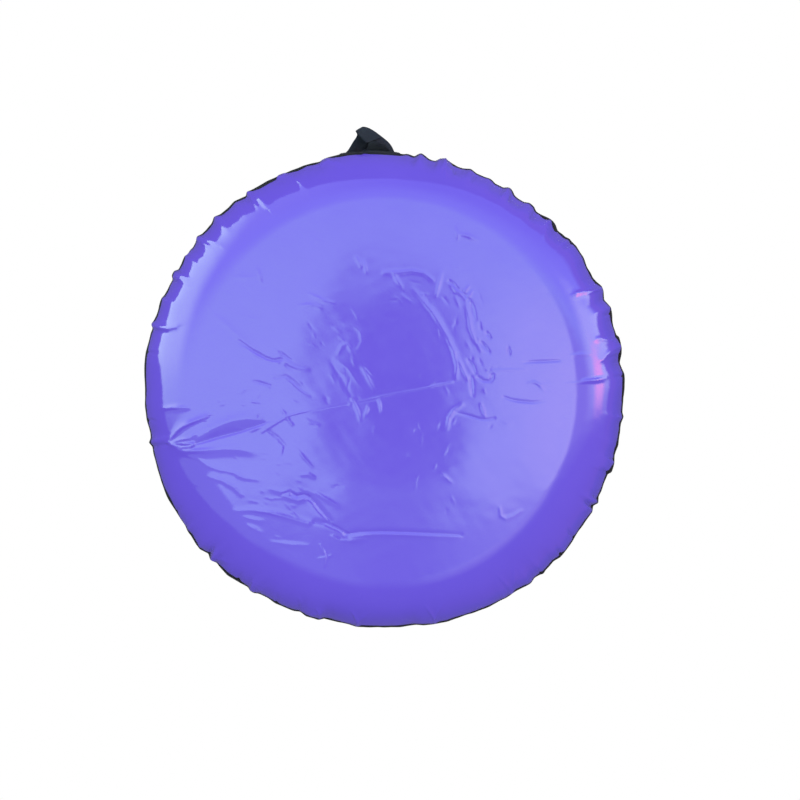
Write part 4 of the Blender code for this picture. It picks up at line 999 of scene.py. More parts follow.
nylon = cloth_material("black coated nylon", nylon_black, nylon_sheen, thread=0.0007, roughness=0.46, depth=0.5)
cover.data.materials.append(nylon)
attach(cover, "tube")
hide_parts("top_cover")
mesh_area(cover)


# Seat well: the same nylon drawn down the inside of the tube and sewn to the rim of the seat, which
# is a double round of heavier cloth that lies on the base.
well_low_radius = 0.23185
well_low_height = 0.0079
seat_radius = 0.2379
seat_height = 0.0118
well_rows = 60
well_slack = 0.0011
well_foot_degrees = 167
well_angles = np.linspace(degrees(cover_end_angle), well_foot_degrees, 22)
well_rz = [section_point(radians(angle)) for angle in well_angles]
foot_radius, foot_height = well_rz[-1]
for share in np.linspace(0, 1, well_rows)[1:]:
    well_rz.append((foot_radius + (well_low_radius - foot_radius) * share,
                    foot_height + (well_low_height - foot_height) * share))
well_rz = np.array(well_rz)
well_points = round_grid(well_rz[:, :1], well_rz[:, 1:])
well_grid = well_points.shape[:2]
well_across = np.broadcast_to(column_turns * foot_radius, well_grid)
well_share = np.linspace(0, 1, len(well_rz))[:, None]
well_wave = waves(well_across, np.broadcast_to(well_share * 0.10, well_grid),
                  seed=21, count=16, shortest=0.03, longest=0.09)
well_fade = np.clip(well_share / 0.12, 0, 1) * np.clip((1 - well_share) / 0.10, 0, 1)
well_points += column_way[None] * (well_slack * well_wave * well_fade)[..., None]
well_lengths = np.concatenate([[0], np.cumsum(np.hypot(*np.diff(well_rz, axis=0).T))])
well_down = np.broadcast_to(well_lengths[:, None], well_grid)
well = grid_piece("well_sheet", well_points[::-1], True, (well_across, well_down[::-1]))
well.data.materials.append(nylon)
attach(well, "tube")
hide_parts("well_wall")
well_girth = 2 * pi * foot_radius
well_drop = float(well_down.max())
min(mesh_area(well), well_girth * well_drop)

seat_edge_drop = 0.006
seat_edge_share = 0.965
seat_slack = 0.0005
seat_radii = np.linspace(0.002, seat_radius, 70)[:, None]
seat_points = column_way[None] * seat_radii[..., None]
seat_edge = np.clip((seat_radii / seat_radius - seat_edge_share) / (1 - seat_edge_share), 0, 1)
seat_points[..., 2] = seat_height - seat_edge_drop * seat_edge**2
seat_points[..., 2] += seat_slack * waves(seat_points[..., 0], seat_points[..., 1],
                                          seed=31, count=14, shortest=0.05, longest=0.16)
seat_points[..., 1] += middle_y
seat = grid_piece("seat_sheet", seat_points[::-1], True, (seat_points[::-1, :, 0], seat_points[::-1, :, 1]))
seat_black = (0.016, 0.017, 0.021)
# Lighter colour of the seat cloth: painted sheen on the threads on top, also reached by random clouds of tone
seat_sheen_and_tone = (0.040, 0.043, 0.052)
seat_cloth = cloth_material("seat cloth", seat_black, seat_sheen_and_tone, thread=0.0011, roughness=0.55, depth=0.7)
seat.data.materials.append(seat_cloth)
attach(seat, "tube")
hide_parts("seat_panel")
mesh_area(seat)


# Air ring and seam tape: black rubber tube that fills the cover, and the tape that backs the rim
# seam. Both follow the gathers of the cover, so that nothing inside shows through the skin.
ring_columns = 360
ring_rows = 64
ring_section = 0.1325
ring_slack = 0.0045
ring_low = 0.0115
ring_turns = np.arange(ring_columns) * 2 * pi / ring_columns
ring_way = np.stack([np.cos(ring_turns), np.sin(ring_turns), np.zeros(ring_columns)], 1)
ring_bulge = np.interp(ring_turns, column_turns, round_smooth(rim_bulge, 40), period=2 * pi)
ring_angles = np.linspace(radians(-180), radians(180), ring_rows)
ring_calm = np.interp(ring_turns, column_turns, upper_calm, period=2 * pi)
ring_outer = np.clip((np.cos(ring_angles) + 0.25) / 0.6, 0, 1)
ring_size = ring_section - ring_slack * ring_outer
ring_points = ring_way[None] * (ring_radius + ring_size * np.cos(ring_angles))[:, None, None]
ring_push = ring_bulge[None] * bulge_share(ring_angles[:, None], ring_calm[None])
ring_points = ring_points + ring_way[None] * ring_push[..., None]
ring_points[..., 2] += (section_radius + ring_size * np.sin(ring_angles))[:, None]
ring_points[..., 1] += middle_y
ring_points[..., 2] = np.maximum(ring_points[..., 2], ring_low)
ring = grid_piece("air_ring", ring_points, True)
rubber, rubber_shader, rubber_wires = new_material("black butyl", (0.016, 0.016, 0.017), roughness=0.62)
rubber_wires.relief(rubber_shader, rubber_wires.noise(420.0, 3.0), 0.35, 0.0004)
ring.data.materials.append(rubber)
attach(ring, "tube")
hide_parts("inner_tube")

tape_half_angle = 0.060
tape_inset = 0.0042
tape_angles = base_edge_angle[None] + np.linspace(-tape_half_angle, tape_half_angle, 5)[:, None]
tape_radius, tape_height = section_point(tape_angles)
tape_points = round_grid(tape_radius - tape_inset + rim_bulge[None], tape_height)
tape = grid_piece("rim_tape", tape_points[:, ::4], True)
tape.data.materials.append(nylon)
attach(tape, "tube")
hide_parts("rim_seam_tape")


# Seams of the cover: lockstitch in black thread beside the rim seam, round both edges of the well's
# mouth and round the seat, with a narrow binding folded over the seam between cover and well.
thread_black = (0.020, 0.021, 0.024)
thread_width = 0.0008
stitch_pitch = 0.0052
stitch_share = 0.78
thread_sides = 5
# Levels of one stitch: how far along it, how high in thread widths, and how thick
stitch_levels = ((0, -0.25, 0.55), (0.22, 0.42, 1), (0.78, 0.42, 1), (1, -0.25, 0.55))


def cover_away(turn, angle):
    """Direction off the cover at an azimuth and an angle of the section."""
    return np.array([cos(angle) * cos(turn), cos(angle) * sin(turn), sin(angle)])


def cover_at(turn, angle, lift=0.0):
    """Point on the cover at an azimuth and an angle of the section, raised off the cloth."""
    column = (turn / (2 * pi) * round_columns) % round_columns
    share = column - int(column)
    spots = []
    for index in (int(column) % round_columns, (int(column) + 1) % round_columns):
        row = float(np.interp(angle, cover_spot[:, index], np.arange(len(cover_spot))))
        low = min(int(row), len(cover_spot) - 2)
        spots.append(cover_points[low, index] * (1 - row + low) + cover_points[low + 1, index] * (row - low))
    return spots[0] * (1 - share) + spots[1] * share + cover_away(turn, angle) * lift


def stitches(name, runs, pitch=stitch_pitch, width=thread_width):
    """Rows of stitches. Each run is the points of its path and the directions off the cloth there."""
    vertices, faces = [], []
    ring_steps = np.arange(thread_sides)[None, :, None] * 2 * pi / thread_sides
    for points, aways in runs:
        points, aways = np.asarray(points, float), np.asarray(aways, float)
        done = np.concatenate([[0], np.cumsum(np.linalg.norm(np.diff(points, axis=0), axis=1))])
        count = max(int(done[-1] / pitch), 1)
        block = count * thread_sides
        first = sum(len(level) for level in vertices)
        starts = np.arange(count) * done[-1] / count

        def along(rows, at):
            return np.stack([np.interp(at, done, rows[:, k]) for k in range(3)], 1)

        for part, lift, size in stitch_levels:
            at = starts + part * stitch_share * pitch
            away = along(aways, at)
            ahead = along(points, at + pitch / 5) - along(points, at - pitch / 5)
            ahead /= np.maximum(np.linalg.norm(ahead, axis=1, keepdims=True), 1e-9)
            side = np.cross(ahead, away)
            side /= np.maximum(np.linalg.norm(side, axis=1, keepdims=True), 1e-9)
            spot = along(points, at) + away * lift * width
            circle = (np.cos(ring_steps) * side[:, None] + np.sin(ring_steps) * away[:, None]) * width / 2 * size
            vertices.append((spot[:, None] + circle).reshape(-1, 3))
        for start in range(first, first + (len(stitch_levels) - 1) * block, thread_sides):
            for corner in range(thread_sides):
                after = (corner + 1) % thread_sides
                faces.append((start + corner, start + after, start + block + after, start + block + corner))
    mesh = bpy.data.meshes.new(name)
    mesh.from_pydata(np.concatenate(vertices).tolist(), [], faces)
    mesh.polygons.foreach_set("use_smooth", np.ones(len(faces), bool))
    mesh.materials.append(thread)
    return put(name, mesh)


def ribbon(name, middle, away, thickness, across):
    """Closed flat strip along a grid of middle points [along, across], with rounded long edges."""
    rows, columns = middle.shape[:2]
    edge = np.linspace(-1, 1, columns)
    half = thickness / 2 * np.clip(1 - edge**10, 0.35, 1)[None, :, None]
    top, under = middle + away * half, middle - away * half
    loop = np.concatenate([top, under[:, ::-1]], 1)
    loop = np.concatenate([(loop[:1] + loop[:1, ::-1]) / 2, loop, (loop[-1:] + loop[-1:, ::-1]) / 2], 0)
    spread = np.linspace(0, across, columns)
    over = np.broadcast_to(np.concatenate([spread, spread[::-1]])[None], loop.shape[:2])
    steps = np.linalg.norm(np.diff(middle[:, columns // 2], axis=0), axis=1)
    passed = np.concatenate([[0, 0], np.cumsum(steps), [steps.sum()]])
    along = np.broadcast_to(passed[:, None], loop.shape[:2])
    return grid_piece(name, loop, True, (over, along))


thread = new_material("black bonded thread", thread_black, roughness=0.42)[0]
seam_columns = np.linspace(0, 2 * pi, round_columns // 2 + 1)


def seam_run(angle_of, lift=0.0002):
    """Closed run of stitches round the cover, at an angle of the section for each azimuth."""
    points = [cover_at(turn, angle_of(turn), lift) for turn in seam_columns]
    return points, [cover_away(turn, angle_of(turn)) for turn in seam_columns]


rim_stitch_up = radians(4.2)
binding_half_width = 0.0065
binding_angle = radians(137.6)
binding_rise = 0.0011
binding_seam = (binding_half_width - 0.002) / section_radius
binding_seam_lift = binding_rise + 0.0008


def above_rim(turn):
    """Angle of the row of stitches just above the rim seam."""
    return float(np.interp(turn % (2 * pi), column_turns, base_edge_angle, period=2 * pi)) + rim_stitch_up


cover_thread = stitches("cover_stitches", [
    seam_run(above_rim),
    seam_run(lambda turn: binding_angle - binding_seam, binding_seam_lift),
    seam_run(lambda turn: binding_angle + binding_seam, binding_seam_lift),
])
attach(cover_thread, "tube")

binding_turns = seam_columns[:-1]
binding_steps = np.linspace(-1, 1, 9)


def tube_at(turn, angle):
    """Point on the tube's even section at an azimuth and an angle of the section."""
    radius, height = section_point(angle)
    return np.array([radius * cos(turn), radius * sin(turn) + middle_y, height])


binding_cross = []
for step in binding_steps:
    angle = binding_angle + step * binding_half_width / section_radius
    on_cover = min(angle, cover_end_angle)
    rise = binding_rise * (1 - abs(step) ** 6)
    binding_cross.append([cover_at(turn, on_cover, rise) + tube_at(turn, angle) - tube_at(turn, on_cover)
                          for turn in binding_turns])
binding_points = np.array(binding_cross)
binding_length = np.broadcast_to(binding_turns[None] * (ring_radius - section_radius), binding_points.shape[:2])
binding_wide = np.broadcast_to((binding_steps * binding_half_width)[:, None], binding_points.shape[:2])
binding = grid_piece("mouth_binding", binding_points, True, (binding_length, binding_wide))

# Webbing colours: the dark one is painted shade in the grooves, the light one a painted highlight on the ribs
webbing_groove_shade = (0.003, 0.006, 0.012)
webbing_rib_highlight = (0.018, 0.029, 0.054)
# Chevron as wide as so many ribs and how it slants, yarns between the ribs, and the painted shade and highlight that
# follow the relief's height: their gain and their middle
chevron_ribs, chevron_slant = 3.2, 0.9
yarn_ribs, yarn_height = 0.8, 0.45
webbing_shade_gain, webbing_shade_middle = 0.30, 0.45


def webbing_material(name, dark, light, rib, roughness):
    """Woven polyester tape: fine ribs across its width and a flat chevron along it. Its colour is darker in the
    grooves and lighter on the ribs, by their height: painted shade and painted highlight.
    """
    material, shader, wires = new_material(name, dark, roughness)
    place = wires.add("ShaderNodeSeparateXYZ", Vector=wires.add("ShaderNodeUVMap").outputs[0])
    across = wires.sum("PINGPONG", place.outputs["X"], rib * chevron_ribs)
    slant = wires.sum("ADD", place.outputs["Y"], wires.times(across, chevron_slant))
    ribs = wires.sum("SINE", wires.times(slant, 2 * pi / rib))
    yarns = wires.sum("SINE", wires.times(place.outputs["X"], 2 * pi / (rib * yarn_ribs)))
    height = wires.sum("MULTIPLY_ADD", yarns, yarn_height, ribs)
    # Painted shade and highlight: the colour follows the height of the ribs and yarns
    tone = wires.sum("MULTIPLY_ADD", height, webbing_shade_gain, webbing_shade_middle, clamp=True)
    wires.feed(shader, "Base Color", wires.blend(tone, (*dark, 1), (*light, 1)))
    wires.relief(shader, height, 0.6, 0.00035)
    return material


webbing = webbing_material("black webbing", webbing_groove_shade, webbing_rib_highlight, rib=0.0013, roughness=0.62)
binding.data.materials.append(webbing)
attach(binding, "tube")

seat_seam_insets = (0.0115, 0.0155)
seat_seam_lift = 0.0006
seat_turns = np.linspace(0, 2 * pi, 361)
seat_rows = []
for inset in seat_seam_insets:
    radius = seat_radius - inset
    ring_line = np.stack([radius * np.cos(seat_turns), radius * np.sin(seat_turns) + middle_y,
                          np.full(len(seat_turns), seat_height + seat_seam_lift)], 1)
    seat_rows.append((ring_line, np.broadcast_to([0, 0, 1.0], ring_line.shape)))
seat_thread = stitches("seat_stitches", seat_rows)
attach(seat_thread, "tube")


# Zip: a coarse moulded zip on woven tapes behind the slot on the far side, with a boxed stop and a
# sewn patch at both ends, a cast slider and a ribbed pull on it.
zip_start = radians(40.0)
zip_stop = radians(140.0)
zip_pitch = 0.0026
tooth_long = 0.00155
tooth_thick = 0.0022
tooth_head = 0.0009
tape_behind = 0.0021
tape_reach = 0.0155
lip_depth = 0.0014
lip_back = 0.004
lip_point_gap = 0.0008
tape_past_zip = 0.030
# Sections from the slot's edge and from the teeth outwards: height and depth
lip_shape = ((0.0006, 0.0001), (0.0001, 0), (-0.0003, -0.0004), (-0.0002, -0.0010), (0.0003, -lip_depth),
             (lip_back, -lip_depth))
tape_shape = ((0.0010, 0.0003), (0.0016, 0.0006), (0.0024, 0.0004), (0.0032, 0), (slot_half_width, -0.0001),
              (tape_reach, -0.0004))
# Half outline of a tooth from its root to its head: height and half width in tooth lengths
tooth_outline = ((0.0042, 0.55), (0.0030, 0.55), (0.0008, 0.42), (0.0002, 0.62),
                 (-tooth_head, 0.62), (-tooth_head - 0.0004, 0.35))
tooth_taper = 0.82
zip_seam_inset = 0.0028
facet_up = np.array([high_radius - low_radius, high_height - low_height]) / facet_length
facet_middle = np.array([(low_radius + high_radius) / 2, (low_height + high_height) / 2])


def zip_point(turn, up, out):
    """Point at the zip: azimuth, height along the facet from the slot's middle, and depth."""
    radius = facet_middle[0] + facet_up[0] * up + facet_up[1] * out
    height = facet_middle[1] + facet_up[1] * up - facet_up[0] * out
    return np.array([radius * cos(turn), radius * sin(turn) + middle_y, height])


def zip_out(turn):
    """Direction out of the zip at an azimuth."""
    return np.array([facet_up[1] * cos(turn), facet_up[1] * sin(turn), -facet_up[0]])


def strip_mesh(profile, turns):
    """Grid along the zip through (up, out) pairs."""
    return np.array([[zip_point(turn, up, out) for turn in turns] for up, out in profile])


plastic, plastic_shader, plastic_wires = new_material("black moulded plastic", (0.018, 0.018, 0.020), roughness=0.32)
plastic_wires.dull(plastic_shader, plastic_wires.noise(300.0, 3.0), 0.2, 0.24)
lip_turns = np.linspace(slot_start + 0.002, slot_stop - 0.002, 500)
for lip_side, lip_name in ((-1, "lower"), (1, "upper")):
    lip_profile = [(lip_side * (slot_half_width + up), out) for up, out in lip_shape]
    lip_points = strip_mesh(lip_profile, lip_turns)
    lip_run = np.broadcast_to(lip_turns[None] * outer_radius, lip_points.shape[:2])
    lip_wide = np.broadcast_to(np.arange(len(lip_profile))[:, None] * lip_point_gap, lip_points.shape[:2])
    lip = grid_piece(f"slot_lip_{lip_name}", lip_points, False, (lip_run, lip_wide))
    lip.data.materials.append(nylon)
    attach(lip, "tube")

    tape_profile = [(lip_side * up, out - tape_behind) for up, out in tape_shape]
    tape_turns = np.linspace(zip_start - tape_past_zip, zip_stop + tape_past_zip, 500)
    tape_points = strip_mesh(tape_profile, tape_turns)
    tape_run = np.broadcast_to(tape_turns[None] * outer_radius, tape_points.shape[:2])
    tape_wide = np.broadcast_to(np.array([p[0] for p in tape_profile])[:, None] + 0.02, tape_points.shape[:2])
    zip_tape = grid_piece(f"zip_cloth_{lip_name}", tape_points, False, (tape_wide, tape_run))
    zip_tape.data.materials.append(webbing)
    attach(zip_tape, "tube")
    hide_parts(f"zip_tape_{lip_name}")

    tooth_count = int((zip_stop - zip_start) * outer_radius / zip_pitch)
    layer = 2 * len(tooth_outline)
    tooth_vertices, tooth_faces = [], []
    for index in range(tooth_count):
        turn = zip_start + (index + (0.25 if lip_side > 0 else 0.75)) * (zip_stop - zip_start) / tooth_count
        first = len(tooth_vertices)
        for out, shrink in ((-tape_behind + 0.0002, 1.0), (-tape_behind + 0.0004 + tooth_thick, tooth_taper)):
            for up, side_size in tooth_outline:
                for side_way in (-1, 1):
                    shift = side_way * side_size * tooth_long / outer_radius
                    tooth_vertices.append(zip_point(turn + shift * shrink, lip_side * (up * 0.98 + 0.0001), out))
        for a in range(first, first + layer - 2, 2):
            b = a + layer
            tooth_faces += [(a, a + 2, a + 3, a + 1), (b, b + 1, b + 3, b + 2),
                            (a, b, b + 2, a + 2), (a + 1, a + 3, b + 3, b + 1)]
        last, upper = first + layer - 2, first + layer
        tooth_faces += [(first, first + 1, upper + 1, upper), (last, last + layer, last + layer + 1, last + 1)]
    tooth_mesh = bpy.data.meshes.new(f"zip_teeth_row_{lip_name}")
    tooth_mesh.from_pydata([tuple(vertex) for vertex in tooth_vertices], [], tooth_faces)
    teeth = put(f"zip_teeth_row_{lip_name}", tooth_mesh)
    tooth_mesh.materials.append(plastic)
    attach(teeth, "tube")
    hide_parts(f"zip_teeth_{lip_name}")

zip_rows = []
for stitch_up in (-slot_half_width - zip_seam_inset, slot_half_width + zip_seam_inset):
    zip_rows.append(([zip_point(turn, stitch_up, 0.0002) for turn in lip_turns],
                     [zip_out(turn) for turn in lip_turns]))
zip_thread = stitches("zip_stitches", zip_rows)
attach(zip_thread, "tube")


# Tow loop: two ends of wide black webbing sewn to a patch at the rim, with the loop between them. The
# loop stands up on its edge, folds over itself at its tip and comes down again behind.
tow_ribbon_wide = 0.038
tow_turn = radians(270)
tow_patch_turn = 0.1269
tow_patch_low = radians(-14.0)
tow_patch_high = radians(8.8)
patch_lift = 0.0013
patch_edge = 0.0007
patch_sink = 0.0002
patch_pitch = 0.0036


def sewn_on_patch(name, turn_low, turn_high, angle_low, angle_high, lift):
    """Cloth patch on the cover with a soft raised edge."""
    rows, columns = 25, 33
    grid = np.zeros((rows, columns, 3))
    across_uv, down_uv = np.zeros((rows, columns)), np.zeros((rows, columns))
    for row, down in enumerate(np.concatenate([[0, 0], np.linspace(0, 1, rows - 4), [1, 1]])):
        for column, over in enumerate(np.concatenate([[0, 0], np.linspace(0, 1, columns - 4), [1, 1]])):
            turn = turn_low + (turn_high - turn_low) * over
            angle = angle_low + (angle_high - angle_low) * down
            outermost = row in (0, rows - 1) or column in (0, columns - 1)
            near = row in (1, rows - 2) or column in (1, columns - 2)
            rise = -patch_sink if outermost else (lift - patch_edge if near else lift)
            grid[row, column] = cover_at(turn, angle, rise)
            across_uv[row, column] = turn * outer_radius
            down_uv[row, column] = angle * section_radius
    piece = grid_piece(name, grid, False, (across_uv, down_uv))
    piece.data.materials.append(nylon)
    return piece


def cover_run(corners, count, lift):
    """Run of stitches over the cover along straight lines between corners."""
    points, aways = [], []
    for first, second in zip(corners, corners[1:]):
        for share in np.linspace(0, 1, count, endpoint=False):
            turn, angle = (a + (b - a) * share for a, b in zip(first, second))
            points.append(cover_at(turn, angle, lift))
            aways.append(cover_away(turn, angle))
    if corners[0] == corners[-1]:
        points, aways = points + points[:1], aways + aways[:1]
    return points, aways


def patch_border(turn_low, turn_high, angle_low, angle_high, lift, margin=0.0035):
    """Square run of stitches inside a patch's edges."""
    left, right = turn_low + margin / outer_radius, turn_high - margin / outer_radius
    low, high = angle_low + margin / section_radius, angle_high - margin / section_radius
    return cover_run([(left, low), (right, low), (right, high), (left, high), (left, low)], 14, lift)


tow_box = (tow_turn - tow_patch_turn, tow_turn + tow_patch_turn, tow_patch_low, tow_patch_high)
tow_patch = sewn_on_patch("tow_patch_cloth", *tow_box, patch_lift)
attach(tow_patch, "tube")
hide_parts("tow_patch")
tow_thread = stitches("tow_stitches", [patch_border(*tow_box, patch_lift + 0.0002)], patch_pitch)
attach(tow_thread, "tube")

# Stations of the loop from its right foot to its left: outer edge and inner edge of the webbing, each
# as a column, a row and a height at which it shows
tow_stations = [
    ((396, 154.4, 0.147), (392, 156.0, 0.109)), ((394.6, 152.6, 0.146), (390.8, 154.2, 0.109)),
    ((393.2, 149.6, 0.143), (389.6, 151.2, 0.109)), ((391.4, 145.6, 0.140), (387.8, 147.8, 0.108)),
    ((387.8, 141.4, 0.136), (384.2, 143.8, 0.106)), ((382.2, 137.0, 0.131), (376.8, 141.6, 0.105)),
    ((376.0, 132.2, 0.124), (366.0, 140.2, 0.107)), ((370.4, 128.6, 0.121), (360.2, 135.4, 0.107)),
    ((366.2, 127.0, 0.120), (357.4, 132.0, 0.109)), ((362.6, 126.6, 0.1215), (355.6, 130.8, 0.113)),
    ((361.4, 127.6, 0.1250), (355.4, 131.4, 0.118)), ((364.6, 131.0, 0.130), (357.6, 134.0, 0.123)),
    ((368.4, 136.6, 0.134), (356.6, 137.0, 0.126)), ((369.0, 143.0, 0.137), (353.2, 141.4, 0.128)),
    ((366.6, 148.8, 0.140), (350.2, 146.8, 0.127)), ((361.4, 153.4, 0.144), (347.0, 152.0, 0.119)),
    ((356.0, 154.6, 0.147), (342.6, 154.6, 0.111)), ((350.0, 155.6, 0.147), (338.0, 157.4, 0.109)),
]
tow_fold_stations = [
    ((362.6, 126.8, 0.114), (356.0, 130.6, 0.106)), ((369.4, 128.4, 0.109), (358.2, 134.8, 0.102)),
    ((375.8, 132.6, 0.107), (362.2, 139.2, 0.101)), ((381.6, 137.4, 0.106), (366.4, 143.0, 0.101)),
]
tow_lining_stations = [
    ((347.0, 153.0, 0.160), (349.0, 156.0, 0.138)), ((351.0, 147.6, 0.160), (353.0, 154.8, 0.136)),
    ((358.0, 142.6, 0.158), (360.0, 154.2, 0.134)), ((367.0, 139.6, 0.156), (368.0, 153.8, 0.133)),
    ((377.0, 138.4, 0.155), (377.0, 153.4, 0.133)), ((385.0, 141.4, 0.156), (384.0, 153.6, 0.134)),
    ((389.6, 146.6, 0.158), (389.0, 154.2, 0.136)), ((392.0, 152.0, 0.160), (392.0, 156.0, 0.138)),
]


def smooth_run(points, count):
    """Even smooth run of points through the given ones."""
    points = np.asarray(points, float)
    for _ in range(3):
        middle = (points[:-1] + points[1:]) / 2
        blended = np.empty((len(points) * 2 - 1, points.shape[1]))
        blended[::2], blended[1::2] = points, middle
        blended[1:-1] = (blended[:-2] + 2 * blended[1:-1] + blended[2:]) / 4
        points = blended
    done = np.concatenate([[0], np.cumsum(np.linalg.norm(np.diff(points, axis=0), axis=1))])
    at = np.linspace(0, done[-1], count)
    return np.stack([np.interp(at, done, points[:, k]) for k in range(points.shape[1])], 1)


tow_webbing_thick = 0.0018
tow_across = np.linspace(0, 1, 11)[None, :, None]


def strip_away(middle):
    """Unit directions square to a strip's grid of middle points."""
    away = np.cross(np.gradient(middle, axis=0), np.gradient(middle, axis=1))
    return away / np.maximum(np.linalg.norm(away, axis=-1, keepdims=True), 1e-9)


tow_layers = []
for layer_name, stations, count in (("tow_strap", tow_stations, 140), ("tow_lining", tow_lining_stations, 70),
                                    ("tow_fold", tow_fold_stations, 70)):
    outer, inner = (smooth_run([seen_at(*station[edge]) for station in stations], count) for edge in (0, 1))
    middle = outer[:, None] * (1 - tow_across) + inner[:, None] * tow_across
    layer = ribbon(layer_name, middle, strip_away(middle), tow_webbing_thick, tow_ribbon_wide)
    layer.data.materials.append(webbing)
    tow_layers.append(layer)
stated_joints = frame["record"]["behaviour"]["joints"]
joint_places = {joint["name"]: Vector(joint["pos_m"]) for joint in stated_joints if "pos_m" in joint}
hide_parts("tow_loop", "tow_end_left", "tow_end_right")
for layer in tow_layers:
    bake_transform(layer)


# Carrying handles: one over each side of the seat, of black webbing with its ends sewn to patches in a
# crossed square. Its middle is rolled into a padded grip, and it folds where it leaves the patches.
crest_out_angle = radians(84)
handle_fold_angle = radians(79.4)
handle_foot_turn = radians(11.25)
handle_webbing_wide = 0.025
handle_webbing_thick = 0.0018
handle_foot_length = 0.031
handle_foot_lift = 0.0023
handle_patch_half_turn = radians(3.15)
handle_patch_low = radians(74.4)
handle_patch_high = radians(94.4)
grip_reach = 0.052
grip_half_length = 0.058
grip_size = 0.0113
grip_swell = 0.0011
grip_mouth = 0.0064
roll_size = 0.0068
roll_rise = 0.62
foot_rise = 0.0012
leg_start, leg_length, leg_bow = 0.002, 0.046, 0.0016
handle_seam_pitch = 0.0034
handle_thread_width = 0.0009
# Middle line of the strap from the middle of the grip to one foot: side, reach and how far rolled
handle_stations = [
    (0.0, 0.0520, 1.0), (0.020, 0.0520, 1.0), (0.040, 0.0520, 1.0), (0.054, 0.0520, 0.95),
    (0.062, 0.0516, 0.72), (0.0700, 0.0494, 0.48), (0.0762, 0.0448, 0.30), (0.0802, 0.0380, 0.18),
    (0.0822, 0.0290, 0.10), (0.0828, 0.0190, 0.05), (0.0828, 0.0100, 0.01), (0.0828, 0.0030, 0.0),
]
grip_columns = 72
grip_rows = 90
grip_end_gap = 0.0002
grip_seam_turn = radians(250)
grip_binding_share = 0.925
# Ends of the grip: where they start to round off and by how much they do, and the binding on them
grip_round_share, grip_round = 0.975, 0.0022
binding_share_from, binding_share_to, binding_thick = 0.885, 0.985, 0.0006
# Lap where the sleeve closes: height and half turn of its ridge, and depth, place and half turn of
# the groove beside it
lap_ridge, lap_ridge_turn = 0.0009, 0.14
lap_groove, lap_groove_at, lap_groove_turn = 0.0005, 0.30, 0.08
grip_wrinkle = 0.00035
grip_lift = 0.0010
seam_half_turn = 0.26
grip_black = (0.013, 0.014, 0.017)
# Lighter colour of the grip cloth: painted sheen on the threads on top, also reached by random clouds of tone
grip_sheen_and_tone = (0.034, 0.037, 0.045)
grip_cloth = cloth_material("grip cloth", grip_black, grip_sheen_and_tone, thread=0.0009, roughness=0.58, depth=0.8)
half_line = smooth_run(handle_stations, 60)
half_ahead = np.gradient(half_line[:, :2], axis=0)
half_ahead /= np.linalg.norm(half_ahead, axis=1, keepdims=True)

